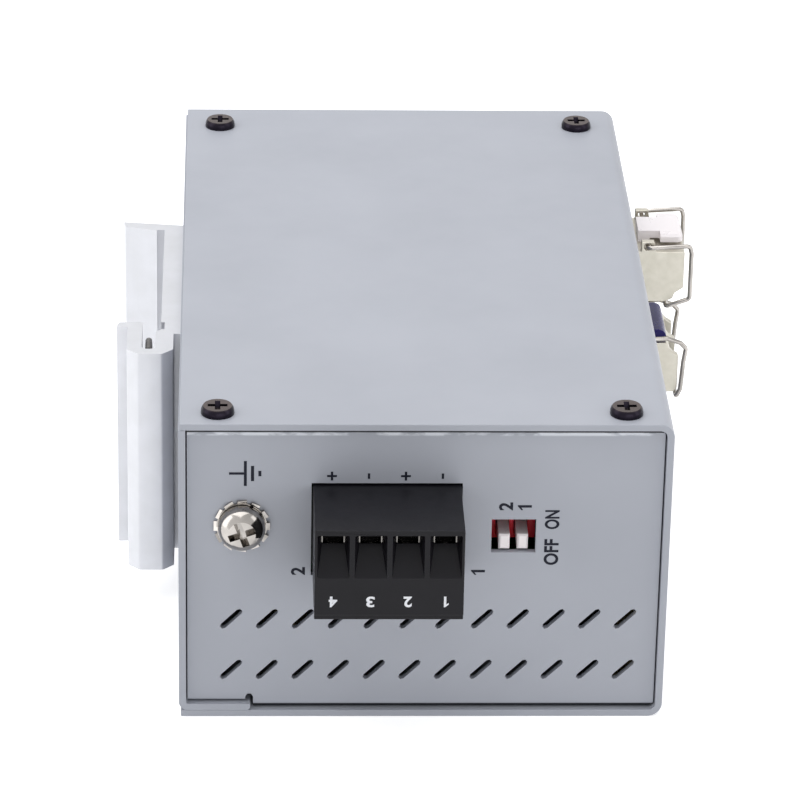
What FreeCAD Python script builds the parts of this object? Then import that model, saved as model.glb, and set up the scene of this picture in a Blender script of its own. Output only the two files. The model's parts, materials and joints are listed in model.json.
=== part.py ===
"""DIN rail Ethernet switch, lying on its side panel.

Frame: +Z is up through the side panel that faces up, +X points from the rail
side to the port side, and -Y is the end that carries the power plug.  The
origin is the middle of the side panel that the unit rests on.  Millimetres.
"""
import FreeCAD, Part
import math
import os

import Sketcher

V = FreeCAD.Vector
doc = FreeCAD.newDocument("DinRailSwitch")
sheet = doc.addObject("Spreadsheet::Sheet", "Sizes")


class Dim:
    """A length that carries its value and the spreadsheet expression for it."""

    def __init__(self, value, text):
        self.value = float(value)
        self.text = text

    def join(self, sign, other, value):
        return Dim(value, "(%s %s %s)" % (self.text, sign, other.text))

    def __add__(self, other):
        other = dim(other)
        return self.join("+", other, self.value + other.value)

    def __sub__(self, other):
        other = dim(other)
        return self.join("-", other, self.value - other.value)

    def __mul__(self, other):
        other = dim(other)
        return self.join("*", other, self.value * other.value)

    def __truediv__(self, other):
        other = dim(other)
        return self.join("/", other, self.value / other.value)

    def __radd__(self, other):
        return dim(other) + self

    def __rsub__(self, other):
        return dim(other) - self

    def __rmul__(self, other):
        return dim(other) * self

    def __neg__(self):
        return Dim(-self.value, "(0 - %s)" % self.text)


def dim(value):
    """A plain number as a Dim."""
    return value if isinstance(value, Dim) else Dim(value, repr(float(value)))


rows_used = [0]


def size(alias, value):
    """One driving dimension: a plain number in a cell with an alias."""
    rows_used[0] += 1
    cell = "B%d" % rows_used[0]
    sheet.set("A%d" % rows_used[0], alias)
    sheet.set(cell, str(value))
    sheet.setAlias(cell, alias)
    return Dim(sheet.getContents(cell).strip("'"), "Sizes." + alias)


# ---------------------------------------------------------------- sizes
# Enclosure
box_depth = size("box_depth", 68.0)
sheet_thick = size("sheet_thick", 1.0)
shell_bend = size("shell_bend", 2.0)
back_bend = size("back_bend", 1.3)
chassis_bend = size("chassis_bend", 0.9)
rear_reveal = size("rear_reveal", 0.25)
end_recess = size("end_recess", 0.8)
end_gap = size("end_gap", 0.2)
foot_flange = size("foot_flange", 10.0)
head_flange = size("head_flange", 8.0)
head_end_gap = size("head_end_gap", 1.2)
lid_flange = size("lid_flange", 10.0)
relief_width = size("relief_width", 1.1)
relief_rise = size("relief_rise", 2.3)
trim_gap = size("trim_gap", 0.4)
lid_space = size("lid_space", 7.85)
far_space = size("far_space", 2.95)
# Vent slots
slot_width = size("slot_width", 0.9)
slot_lean = size("slot_lean", 2.25)
slot_pitch = size("slot_pitch", 5.0)
slot_start = size("slot_start", 6.175)
slot_margin = size("slot_margin", 4.0)
slot_low = size("slot_low", 6.1)
slot_rise = size("slot_rise", 8.05)
# Lid screws
screw_back = size("screw_back", 5.4)
screw_front = size("screw_front", 6.45)
screw_near = size("screw_near", 1.85)
screw_far = size("screw_far", 5.1)
screw_major = size("screw_major", 2.4)
screw_fit = size("screw_fit", 0.1)
screw_clearance = size("screw_clearance", 0.5)
screw_head = size("screw_head", 4.6)
screw_head_rise = size("screw_head_rise", 1.15)
screw_length = size("screw_length", 5.0)
# Ground screw
ground_in = size("ground_in", 8.75)
ground_rise = size("ground_rise", 0.7)
ground_major = size("ground_major", 3.9)
ground_head = size("ground_head", 6.6)
ground_head_rise = size("ground_head_rise", 2.4)
ground_length = size("ground_length", 7.0)
washer_across = size("washer_across", 7.8)
washer_thick = size("washer_thick", 0.7)
washer_teeth = size("washer_teeth", 12)
nut_across = size("nut_across", 7.0)
nut_rise = size("nut_rise", 3.2)
# Power terminal
pole_pitch = size("pole_pitch", 5.08)
pole_count = size("pole_count", 4)
plug_space = size("plug_space", 9.82)
plug_drop = size("plug_drop", 6.05)
plug_tall = size("plug_tall", 13.8)
plug_reach = size("plug_reach", 13.85)
plug_gap = size("plug_gap", 0.25)
plug_lip = size("plug_lip", 0.9)
plug_step = size("plug_step", 0.5)
nose_inset = size("nose_inset", 0.65)
nose_tall = size("nose_tall", 8.6)
nose_reach = size("nose_reach", 8.6)
header_wall = size("header_wall", 1.3)
header_back = size("header_back", 2.4)
pin_wide = size("pin_wide", 1.0)
pin_gap = size("pin_gap", 0.3)
pin_set_back = size("pin_set_back", 2.6)
solder_reach = size("solder_reach", 0.8)
entry_wall = size("entry_wall", 0.75)
entry_tall = size("entry_tall", 6.5)
entry_hole = size("entry_hole", 2.5)
entry_taper = size("entry_taper", 0.6)
entry_drop = size("entry_drop", 0.8)
entry_deep = size("entry_deep", 3.0)
cage_inset = size("cage_inset", 0.315)
cage_tall = size("cage_tall", 5.2)
cage_long = size("cage_long", 5.6)
cage_wall = size("cage_wall", 0.45)
cage_floor = size("cage_floor", 1.0)
cage_gap = size("cage_gap", 0.1)
clamp_head = size("clamp_head", 3.2)
clamp_major = size("clamp_major", 2.5)
clamp_rise = size("clamp_rise", 0.8)
clamp_slot = size("clamp_slot", 0.6)
clamp_sink = size("clamp_sink", 0.5)
# Setting switches
dip_space = size("dip_space", 4.16)
dip_drop = size("dip_drop", 7.05)
dip_set_back = size("dip_set_back", 4.2)
dip_lap = size("dip_lap", 0.225)
dip_under_lap = size("dip_under_lap", 0.35)
dip_over_lap = size("dip_over_lap", 2.1)
dip_cover_deep = size("dip_cover_deep", 3.4)
dip_base_deep = size("dip_base_deep", 3.6)
dip_base_drop = size("dip_base_drop", 1.6)
window_side = size("window_side", 1.03)
window_rise = size("window_rise", 0.275)
lever_pitch = size("lever_pitch", 2.54)
lever_wide = size("lever_wide", 1.55)
lever_tall = size("lever_tall", 2.3)
lever_travel = size("lever_travel", 2.3)
lever_gap = size("lever_gap", 0.2)
lever_set_back = size("lever_set_back", 0.4)
lever_edge = size("lever_edge", 0.25)
# Pluggable optical modules and their cages
light_space = size("light_space", 2.4)
module_space = size("module_space", 3.0)
module_pitch = size("module_pitch", 15.5)
module_wide = size("module_wide", 13.4)
module_tall = size("module_tall", 8.4)
module_long = size("module_long", 47.0)
module_nose = size("module_nose", 9.2)
module_edge = size("module_edge", 0.5)
nose_start = size("nose_start", 1.6)
chin_back = size("chin_back", 2.8)
chin_step_back = size("chin_step_back", 1.6)
chin_step_rise = size("chin_step_rise", 0.55)
chin_top_back = size("chin_top_back", 1.3)
chin_top_rise = size("chin_top_rise", 1.45)
chin_rise = size("chin_rise", 2.35)
lower_nose_short = size("lower_nose_short", 0.25)
foot_bevel = size("foot_bevel", 0.45)
brow_back = size("brow_back", 1.85)
brow_high_back = size("brow_high_back", 1.55)
brow_high_drop = size("brow_high_drop", 0.85)
brow_low_back = size("brow_low_back", 0.95)
brow_low_drop = size("brow_low_drop", 1.55)
brow_drop = size("brow_drop", 2.15)
module_gap = size("module_gap", 0.25)
cage_sheet = size("cage_sheet", 0.35)
cage_lip = size("cage_lip", 0.6)
cage_rear = size("cage_rear", 1.5)
opening_gap = size("opening_gap", 0.2)
bore_wide = size("bore_wide", 4.8)
bore_tall = size("bore_tall", 6.0)
bore_deep = size("bore_deep", 7.0)
bore_pitch = size("bore_pitch", 6.25)
ferrule = size("ferrule", 2.2)
ferrule_long = size("ferrule_long", 2.3)
bail_wire = size("bail_wire", 0.7)
bail_gap = size("bail_gap", 0.2)
bail_clear = size("bail_clear", 0.2)
bail_front_gap = size("bail_front_gap", 0.65)
bail_bend = size("bail_bend", 0.5)
bail_pivot_out = size("bail_pivot_out", 3.45)
bail_pivot_rise = size("bail_pivot_rise", 0.85)
upper_bail_rise = size("upper_bail_rise", 0.4)
upper_bail_lean = size("upper_bail_lean", 0.3)
upper_bail_tuck = size("upper_bail_tuck", 1.3)
upper_bar_out = size("upper_bar_out", 3.15)
lower_bail_flat = size("lower_bail_flat", 3.6)
lower_bail_slope = size("lower_bail_slope", 5.7)
lower_bail_fall = size("lower_bail_fall", 0.55)
lower_bail_knee = size("lower_bail_knee", 6.6)
lower_knee_drop = size("lower_knee_drop", 1.5)
lower_shin_out = size("lower_shin_out", 6.28)
lower_shin_drop = size("lower_shin_drop", 3.9)
lower_bar_out = size("lower_bar_out", 5.4)
ear_long = size("ear_long", 2.0)
ear_rise = size("ear_rise", 1.65)
ear_thick = size("ear_thick", 1.1)
latch_wide = size("latch_wide", 5.4)
latch_paddle = size("latch_paddle", 8.8)
latch_thick = size("latch_thick", 1.2)
latch_rise = size("latch_rise", 0.65)
latch_neck = size("latch_neck", 2.1)
latch_reach = size("latch_reach", 5.6)
latch_back = size("latch_back", 1.2)
latch_foot = size("latch_foot", 1.8)
latch_corner = size("latch_corner", 1.0)
latch_edge = size("latch_edge", 0.35)
grip_gap = size("grip_gap", 0.4)
grip_reach = size("grip_reach", 3.7)
grip_rise = size("grip_rise", 1.6)
# Copper ports
jack_gap = size("jack_gap", 0.3)
jack_pitch = size("jack_pitch", 14.0)
jack_count = size("jack_count", 4)
jack_side = size("jack_side", 2.0)
jack_clear = size("jack_clear", 0.5)
jack_deep = size("jack_deep", 24.5)
jack_lip = size("jack_lip", 0.4)
port_wide = size("port_wide", 11.9)
port_tall = size("port_tall", 7.2)
port_deep = size("port_deep", 13.0)
port_floor = size("port_floor", 0.6)
notch_wide = size("notch_wide", 6.2)
notch_tall = size("notch_tall", 2.4)
contact_thick = size("contact_thick", 0.4)
contact_pitch = size("contact_pitch", 1.02)
contact_count = size("contact_count", 8)
contact_long = size("contact_long", 6.6)
contact_drop = size("contact_drop", 1.2)
# Boards
board_thick = size("board_thick", 1.6)
board_margin = size("board_margin", 1.2)
post_tall = size("post_tall", 17.75)
post_major = size("post_major", 3.0)
post_fit = size("post_fit", 0.1)
post_across = size("post_across", 5.5)
post_rear = size("post_rear", 15.0)
post_front = size("post_front", 5.6)
post_near = size("post_near", 4.6)
post_corner = size("post_corner", 4.4)
post_far = size("post_far", 6.35)
stud_drop = size("stud_drop", 5.0)
stud_gap = size("stud_gap", 0.5)
board_head = size("board_head", 1.9)
# Status lights
light_wide = size("light_wide", 3.0)
light_tall = size("light_tall", 2.0)
light_rise = size("light_rise", 1.2)
light_pitch = size("light_pitch", 4.2)
light_count = size("light_count", 3)
light_long = size("light_long", 6.0)
light_proud = size("light_proud", 0.5)
light_fit = size("light_fit", 0.05)
# Rail clip
rail_wide = size("rail_wide", 35.0)
rail_catch = size("rail_catch", 1.5)
clip_long = size("clip_long", 35.0)
clip_start = size("clip_start", 33.9)
clip_web = size("clip_web", 2.95)
clip_wall = size("clip_wall", 1.8)
slot_deep = size("slot_deep", 9.1)
slot_inset = size("slot_inset", 0.75)
slot_across = size("slot_across", 1.95)
clip_lip_wall = size("clip_lip_wall", 2.15)
clip_lip_reach = size("clip_lip_reach", 1.6)
clip_lip_thick = size("clip_lip_thick", 1.7)
clip_foot_gap = size("clip_foot_gap", 1.1)
clip_corner = size("clip_corner", 1.6)
web_start = size("web_start", 5.1)
hook_play = size("hook_play", 0.4)
hook_wall = size("hook_wall", 1.7)
hook_lip = size("hook_lip", 1.15)
hook_reach = size("hook_reach", 6.25)
hook_flare = size("hook_flare", 1.25)
hook_flat = size("hook_flat", 0.3)
clip_nib = size("clip_nib", 0.4)
slot_lead = size("slot_lead", 1.4)
slot_bevel = size("slot_bevel", 0.5)
spring_wire = size("spring_wire", 1.0)
spring_arm = size("spring_arm", 4.2)
spring_foot = size("spring_foot", 0.35)
spring_inset = size("spring_inset", 0.25)
spring_notch_wide = size("spring_notch_wide", 0.5)
spring_notch_long = size("spring_notch_long", 2.4)
spring_notch_deep = size("spring_notch_deep", 1.5)
clip_screw_pitch = size("clip_screw_pitch", 17.0)
clip_screw_major = size("clip_screw_major", 3.0)
clip_screw_head = size("clip_screw_head", 5.6)
clip_screw_length = size("clip_screw_length", 8.0)
clip_nut = size("clip_nut", 5.5)
clip_nut_thick = size("clip_nut_thick", 2.4)
doc.recompute()

# Across the box: the shell's sides, the rear and front sheets
back = -box_depth / 2
front = box_depth / 2
rear_in = back + sheet_thick
front_in = front - sheet_thick
# Up the box: floor, standoffs, boards that carry everything below them, lid
cage_tall_out = module_tall + 2 * (module_gap + cage_sheet)
floor_top = 2 * sheet_thick
lower_under = floor_top + post_tall
upper_under = lower_under + module_pitch
board_top = upper_under + board_thick
under_lid = board_top + lid_space
box_width = under_lid + sheet_thick
middle = box_width / 2
module_up = upper_under - cage_tall_out / 2
# Along the box: header, copper ports, lights, modules, far posts, one after another
jack_row_long = jack_count * jack_pitch + 2 * jack_side
jack_start = end_recess + sheet_thick + nose_reach + pin_gap + header_back + pin_wide + jack_gap
light_start = jack_start + jack_row_long + light_space
cage_wide_out = module_wide + 2 * (module_gap + cage_sheet)
module_start = light_start + light_wide + module_space
post_end = module_start + cage_wide_out + post_far + post_across
box_height = post_end + far_space + sheet_thick + end_recess
near = -box_height / 2
far = box_height / 2
panel_face = near + end_recess
panel_rear = panel_face + sheet_thick
end_far = far - end_recess
module_y = near + module_start + cage_wide_out / 2
jack_y = near + jack_start + jack_row_long / 2
light_y = near + light_start + light_wide / 2


# ---------------------------------------------------------------- helpers
def bind(obj, prop, value):
    obj.setExpression(prop, dim(value).text)


def move(obj, x=None, y=None, z=None):
    """Bind the placement of an object to the sheet."""
    for axis, value in (("x", x), ("y", y), ("z", z)):
        if value is not None:
            bind(obj, "Placement.Base." + axis, value)
    return obj


def new_body(label):
    body = doc.addObject("PartDesign::Body", label)
    body.Label = label
    return body


def origin_item(body, role):
    for item in body.Origin.OriginFeatures:
        if item.Role == role:
            return item
    raise ValueError(role)


# A sketch on XZ looks along +Y, so its normal is -Y.
FACING = {"XY": 1.0, "XZ": -1.0, "YZ": 1.0}


def new_sketch(body, plane, level, name="sketch"):
    """A sketch on an origin plane, moved along the plane's axis to level."""
    sk = body.newObject("Sketcher::SketchObject", name)
    sk.AttachmentSupport = (origin_item(body, plane + "_Plane"), "")
    sk.MapMode = "FlatFace"
    offset = dim(level) * FACING[plane]
    sk.AttachmentOffset = FreeCAD.Placement(V(0, 0, offset.value), FreeCAD.Rotation())
    bind(sk, "AttachmentOffset.Base.z", offset)
    return sk


def pin_point(sk, geo, pos, u, v):
    """Hold a sketch point at bound coordinates."""
    for kind, value in (("DistanceX", u), ("DistanceY", v)):
        value = dim(value)
        index = sk.addConstraint(Sketcher.Constraint(kind, -1, 1, geo, pos, value.value))
        bind(sk, "Constraints[%d]" % index, value)


def polygon(sk, points):
    """A closed outline through bound points."""
    points = [(dim(u), dim(v)) for u, v in points]
    first = sk.GeometryCount
    count = len(points)
    for i in range(count):
        a = points[i]
        b = points[(i + 1) % count]
        sk.addGeometry(Part.LineSegment(V(a[0].value, a[1].value, 0), V(b[0].value, b[1].value, 0)))
    for i in range(count):
        following = first + (i + 1) % count
        sk.addConstraint(Sketcher.Constraint("Coincident", first + i, 2, following, 1))
    for i in range(count):
        pin_point(sk, first + i, 1, points[i][0], points[i][1])


def rectangle(sk, u0, u1, v0, v1):
    polygon(sk, [(u0, v0), (u1, v0), (u1, v1), (u0, v1)])


def circle(sk, u, v, radius):
    u, v, radius = dim(u), dim(v), dim(radius)
    geo = sk.addGeometry(Part.Circle(V(u.value, v.value, 0), V(0, 0, 1), radius.value))
    index = sk.addConstraint(Sketcher.Constraint("Radius", geo, radius.value))
    bind(sk, "Constraints[%d]" % index, radius)
    pin_point(sk, geo, 3, u, v)


def whole(value):
    """A count from a length ratio, rounded down."""
    return Dim(math.floor(value.value + 1e-9), "floor(%s)" % value.text)


def corner_ring(u, v, reach, sides):
    """Corners of a regular polygon around a bound centre."""
    points = []
    for i in range(sides):
        angle = 2 * math.pi * (i + 0.5) / sides
        points.append((u + reach * math.cos(angle), v + reach * math.sin(angle)))
    return points


def flats(sk, u, v, across, sides=8):
    """A regular polygon measured across its flats, for taps and hidden holes."""
    polygon(sk, corner_ring(dim(u), dim(v), dim(across) / (2 * math.cos(math.pi / sides)), sides))


END_STEPS = 3


def blunt_slot(sk, u, v, lean_u, lean_v, radius):
    """A slot between centres (u, v) -/+ (lean_u, lean_v), its ends in short flats."""
    u, v, lean_u, lean_v, radius = dim(u), dim(v), dim(lean_u), dim(lean_v), dim(radius)
    heading = math.atan2(lean_v.value, lean_u.value)
    points = []
    for side in (1, -1):
        for k in range(END_STEPS + 1):
            angle = heading + (0 if side > 0 else math.pi) + math.pi * (k / END_STEPS - 0.5)
            points.append((u + lean_u * side + radius * math.cos(angle),
                           v + lean_v * side + radius * math.sin(angle)))
    polygon(sk, points)


def pad(body, plane, low, high, draw, name="pad"):
    """Material between two levels of a plane's axis."""
    start = low if FACING[plane] > 0 else high
    sk = new_sketch(body, plane, start, name + "_sketch")
    draw(sk)
    feature = body.newObject("PartDesign::Pad", name)
    feature.Profile = sk
    bind(feature, "Length", dim(high) - low)
    doc.recompute()
    return feature


def pocket(body, plane, low, high, draw, name="pocket"):
    """A cut between two levels of a plane's axis; it must remove material."""
    start = high if FACING[plane] > 0 else low
    before = body.Shape.Volume
    sk = new_sketch(body, plane, start, name + "_sketch")
    draw(sk)
    feature = body.newObject("PartDesign::Pocket", name)
    feature.Profile = sk
    bind(feature, "Length", dim(high) - low)
    doc.recompute()
    if body.Shape.Volume > before - 1e-6:
        raise RuntimeError("nothing was cut by " + name)
    return feature


def pattern(body, originals, axis, spacing, count):
    """Copies of features along an axis of the body."""
    feature = body.newObject("PartDesign::LinearPattern", "pattern")
    feature.Originals = originals
    feature.Direction = (origin_item(body, axis + "_Axis"), [""])
    feature.Mode = "Spacing"
    bind(feature, "Offset", spacing)
    bind(feature, "Occurrences", count)
    body.Tip = feature
    doc.recompute()
    return feature


def edges_where(shape, test):
    """Names of the edges whose middle point and direction pass a test."""
    names = []
    for i, edge in enumerate(shape.Edges, 1):
        low = edge.ParameterRange[0]
        high = edge.ParameterRange[1]
        mid = edge.valueAt((low + high) / 2)
        run = edge.valueAt(high) - edge.valueAt(low)
        if test(mid, run, edge):
            names.append("Edge%d" % i)
    return names


def close(a, b):
    b = b.value if isinstance(b, Dim) else b
    return abs(a - b) < 1e-4


def soften(body, feature, radius, test, kind="Fillet"):
    """Round or bevel the edges of a feature that pass a test."""
    names = edges_where(feature.Shape, test)
    if not names:
        raise RuntimeError("no edge found on " + body.Label)
    dress = body.newObject("PartDesign::" + kind, kind.lower())
    dress.Base = (feature, names)
    bind(dress, "Radius" if kind == "Fillet" else "Size", radius)
    body.Tip = dress
    doc.recompute()
    return dress


def along_y(run):
    return abs(run.y) > 1e-6 and abs(run.x) < 1e-6 and abs(run.z) < 1e-6


def along_x(run):
    return abs(run.x) > 1e-6 and abs(run.y) < 1e-6 and abs(run.z) < 1e-6


def along_z(run):
    return abs(run.z) > 1e-6 and abs(run.x) < 1e-6 and abs(run.y) < 1e-6


def line_at(direction, first, second):
    """Test for an edge along an axis through two bound coordinates."""
    def test(mid, run, edge):
        if direction == "y":
            return along_y(run) and close(mid.x, first) and close(mid.z, second)
        if direction == "x":
            return along_x(run) and close(mid.y, first) and close(mid.z, second)
        return along_z(run) and close(mid.x, first) and close(mid.y, second)
    return test


def any_of(*tests):
    return lambda mid, run, edge: any(test(mid, run, edge) for test in tests)


def solid_box(label, x0, x1, y0, y1, z0, z1):
    box = doc.addObject("Part::Box", label)
    bind(box, "Length", dim(x1) - x0)
    bind(box, "Width", dim(y1) - y0)
    bind(box, "Height", dim(z1) - z0)
    return move(box, x0, y0, z0)


TURN = {
    "x": FreeCAD.Rotation(V(0, 1, 0), 90),
    "y": FreeCAD.Rotation(V(1, 0, 0), -90),
    "z": FreeCAD.Rotation(),
}


def solid_rod(label, axis, x, y, z, radius, length):
    """A cylinder that starts at a point and runs along an axis."""
    rod = doc.addObject("Part::Cylinder", label)
    rod.Placement = FreeCAD.Placement(V(0, 0, 0), TURN[axis])
    bind(rod, "Radius", radius)
    bind(rod, "Height", length)
    return move(rod, x, y, z)


def solid_prism(label, axis, x, y, z, across_flats, length, sides=6):
    """A regular prism that starts at a point and runs along an axis."""
    prism = doc.addObject("Part::Prism", label)
    prism.Polygon = sides
    prism.Placement = FreeCAD.Placement(V(0, 0, 0), TURN[axis])
    bind(prism, "Circumradius", dim(across_flats) / (2 * math.cos(math.pi / sides)))
    bind(prism, "Height", length)
    return move(prism, x, y, z)


def solid_cone(label, axis, x, y, z, first_radius, last_radius, length):
    """A cone frustum that starts at a point and runs along an axis."""
    cone = doc.addObject("Part::Cone", label)
    cone.Placement = FreeCAD.Placement(V(0, 0, 0), TURN[axis])
    bind(cone, "Radius1", first_radius)
    bind(cone, "Radius2", last_radius)
    bind(cone, "Height", length)
    return move(cone, x, y, z)


def cut(label, base, tool):
    result = doc.addObject("Part::Cut", label)
    result.Base = base
    result.Tool = tool
    return result


def fuse(label, shapes):
    result = doc.addObject("Part::MultiFuse", label)
    result.Shapes = shapes
    return result


def group(label, shapes):
    result = doc.addObject("Part::Compound", label)
    result.Links = shapes
    return result


nodes = []


def node(obj, label):
    """Name an object as one of the part's pieces."""
    obj.Label = label
    nodes.append(obj)
    return obj


# ---------------------------------------------------------------- outer shell
# One folded sheet: side panel above, port panel, side panel below.
shell = new_body("outer_shell")
shell_rear = back + rear_reveal


def shell_profile(sk):
    polygon(sk, [
        (shell_rear, 0.0), (front, 0.0), (front, box_width), (shell_rear, box_width),
        (shell_rear, under_lid), (front_in, under_lid), (front_in, sheet_thick), (shell_rear, sheet_thick)])


fold = pad(shell, "XZ", near, far, shell_profile, "fold")
fold = soften(shell, fold, shell_bend, any_of(line_at("y", front, 0.0), line_at("y", front, box_width)))
soften(shell, fold, shell_bend - sheet_thick,
       any_of(line_at("y", front_in, sheet_thick), line_at("y", front_in, under_lid)))

screw_spots = []
for screw_x in (back + screw_back, front - screw_front):
    for screw_y in (panel_rear + screw_near, end_far - sheet_thick - screw_far):
        screw_spots.append((screw_x, screw_y))


def lid_holes(sk):
    for u, v in screw_spots:
        flats(sk, u, v, screw_major + screw_clearance)


pocket(shell, "XY", under_lid - 0.5, box_width + 0.5, lid_holes, "lid_holes")

opening_half = cage_wide_out / 2 + opening_gap
opening_rise = cage_tall_out / 2 + opening_gap
jack_half = jack_row_long / 2 + opening_gap
jack_tall = module_pitch - board_thick - jack_clear
module_levels = (module_up, module_up - module_pitch)
board_levels = (upper_under, lower_under)
light_levels = []
for i in range(int(light_count.value)):
    light_levels.append(lower_under + board_thick + light_rise + light_tall / 2 + i * light_pitch)
light_half = light_wide / 2 + light_fit
light_half_tall = light_tall / 2 + light_fit


def port_openings(sk):
    for level in module_levels:
        rectangle(sk, module_y - opening_half, module_y + opening_half,
                  level - opening_rise, level + opening_rise)
    for under in board_levels:
        rectangle(sk, jack_y - jack_half, jack_y + jack_half,
                  under - jack_tall - opening_gap, under + opening_gap)
    for level in light_levels:
        rectangle(sk, light_y - light_half, light_y + light_half,
                  level - light_half_tall, level + light_half_tall)


pocket(shell, "YZ", front_in - 0.5, front + 0.5, port_openings, "port_openings")
node(shell, "outer_shell")

# ---------------------------------------------------------------- rear panel
# A sheet with a flange on the lower side panel and a shorter one under the lid.
rear = new_body("rear_panel")


def rear_profile(sk):
    polygon(sk, [
        (back, sheet_thick), (back + foot_flange, sheet_thick), (back + foot_flange, floor_top),
        (rear_in, floor_top), (rear_in, under_lid), (back, under_lid)])


rear_fold = pad(rear, "XZ", near, far, rear_profile, "fold")
head_near = panel_face + lid_flange + head_end_gap
head_far = end_far - lid_flange - head_end_gap
rear_fold = pad(rear, "XZ", head_near, head_far, lambda sk: rectangle(
    sk, rear_in - 0.2, back + head_flange, under_lid - sheet_thick, under_lid), "head")
rear_fold = soften(rear, rear_fold, back_bend, line_at("y", back, sheet_thick))
rear_fold = soften(rear, rear_fold, back_bend - sheet_thick, line_at("y", rear_in, floor_top))
soften(rear, rear_fold, sheet_thick * 0.6, line_at("y", back + foot_flange, sheet_thick))

# The rail clip's own lines, counted along the box from its near end
clip_near = near + clip_start
slot_floor = clip_near + clip_wall
clip_lip = slot_floor + slot_deep
clip_seat = slot_floor + web_start
hook_pocket = clip_lip - rail_catch + rail_wide
hook_tip = hook_pocket - hook_play
hook_back = hook_pocket + hook_wall
clip_centre = (clip_seat + hook_back) / 2
clip_screw_spots = [clip_centre - clip_screw_pitch / 2, clip_centre + clip_screw_pitch / 2]


def rear_holes(sk):
    for v in clip_screw_spots:
        flats(sk, v, middle, clip_screw_major + 2 * screw_fit)


pocket(rear, "YZ", back - 0.5, rear_in + 0.5, rear_holes, "clip_holes")
node(rear, "rear_panel")

# ---------------------------------------------------------------- inner chassis
# Floor, two end panels and the flanges that take the lid screws, in one sheet.
chassis = new_body("inner_chassis")
chassis_rear = rear_in + end_gap
chassis_front = front_in - end_gap


def chassis_profile(sk):
    polygon(sk, [
        (panel_face, sheet_thick), (end_far, sheet_thick), (end_far, under_lid),
        (end_far - lid_flange, under_lid), (end_far - lid_flange, under_lid - sheet_thick),
        (end_far - sheet_thick, under_lid - sheet_thick), (end_far - sheet_thick, floor_top),
        (panel_rear, floor_top), (panel_rear, under_lid - sheet_thick),
        (panel_face + lid_flange, under_lid - sheet_thick), (panel_face + lid_flange, under_lid),
        (panel_face, under_lid)])


frame = pad(chassis, "YZ", chassis_rear, chassis_front, chassis_profile, "fold")
frame = soften(chassis, frame, chassis_bend, any_of(
    line_at("x", panel_face, sheet_thick), line_at("x", end_far, sheet_thick),
    line_at("x", panel_face, under_lid), line_at("x", end_far, under_lid)))
corner_trim = (shell_bend - sheet_thick) * 0.8


def corner_profile(sk):
    for level, inward in ((sheet_thick, corner_trim), (under_lid, -corner_trim)):
        polygon(sk, [
            (chassis_front - corner_trim, level), (chassis_front + 1.0, level - inward * 2),
            (chassis_front + 1.0, level + inward), (chassis_front, level + inward)])


pocket(chassis, "XZ", near, far, corner_profile, "front_corners")
relief_front = back + foot_flange + trim_gap
relief_in = relief_front - relief_width / 2


def trim_profile(sk):
    rectangle(sk, chassis_rear - 1.0, relief_front, sheet_thick - 0.5, floor_top + trim_gap)


pocket(chassis, "XZ", near, far, trim_profile, "flange_trim")
relief_half = (relief_rise - relief_width) / 2


def relief_slot(sk):
    blunt_slot(sk, relief_in, sheet_thick + relief_rise / 2, 0.0, relief_half, relief_width / 2)


pocket(chassis, "XZ", near, panel_rear + 0.5, relief_slot, "relief_near")
pocket(chassis, "XZ", end_far - sheet_thick - 0.5, far, relief_slot, "relief_far")
slot_first = back + slot_start + slot_lean / 2
slot_room = box_depth - slot_start - slot_lean - slot_margin
slot_count = whole(slot_room / slot_pitch) + 1


def vent_column(sk):
    for level in (sheet_thick + slot_low, sheet_thick + slot_low + slot_rise):
        blunt_slot(sk, slot_first, level, slot_lean / 2, slot_lean / 2, slot_width / 2)


vents = pocket(chassis, "XZ", near, far, vent_column, "vent_column")
pattern(chassis, [vents], "X", slot_pitch, slot_count)

# Power plug, setting switches and ground screw follow each other along the end
ground_x = back + ground_in
plug_wide = pole_count * pole_pitch
plug_x = ground_x + plug_space + plug_wide / 2
plug_up = upper_under - plug_drop
ground_up = plug_up + ground_rise
nose_wide = plug_wide - 2 * nose_inset
window_wide = lever_pitch + lever_wide + 2 * window_side
window_tall = lever_tall + lever_travel + 2 * window_rise
window_x = plug_x + plug_wide / 2 + dip_space + window_wide / 2 + dip_lap
dip_up = upper_under - dip_drop
window_low = dip_up - window_tall / 2


def near_windows(sk):
    rectangle(sk, plug_x - plug_wide / 2 - plug_gap, plug_x + plug_wide / 2 + plug_gap,
              plug_up - plug_tall / 2 - plug_gap, plug_up + plug_tall / 2 + plug_gap)
    rectangle(sk, window_x - window_wide / 2, window_x + window_wide / 2,
              window_low, window_low + window_tall)
    flats(sk, ground_x, ground_up, ground_major + 2 * screw_fit)


pocket(chassis, "XZ", near, panel_rear + 0.5, near_windows, "near_windows")


def tapped_holes(sk):
    for u, v in screw_spots:
        flats(sk, u, v, screw_major + screw_fit)


pocket(chassis, "XY", under_lid - sheet_thick - 0.5, under_lid + 0.2, tapped_holes, "tapped_holes")
node(chassis, "inner_chassis")


# ---------------------------------------------------------------- screws
def cross(sk, half_long, half_wide):
    a, b = dim(half_long), dim(half_wide)
    polygon(sk, [
        (-a, -b), (-b, -b), (-b, -a), (b, -a), (b, -b), (a, -b),
        (a, b), (b, b), (b, a), (-b, a), (-b, b), (-a, b)])


def turned(body, outline, name):
    """Material turned about the body's own Z axis from an outline in X and Z."""
    sk = new_sketch(body, "XZ", 0.0, name + "_sketch")
    polygon(sk, outline)
    feature = body.newObject("PartDesign::Revolution", name)
    feature.Profile = sk
    feature.ReferenceAxis = (sk, ["V_Axis"])
    feature.Angle = 360
    body.Tip = feature
    doc.recompute()
    return feature


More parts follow.
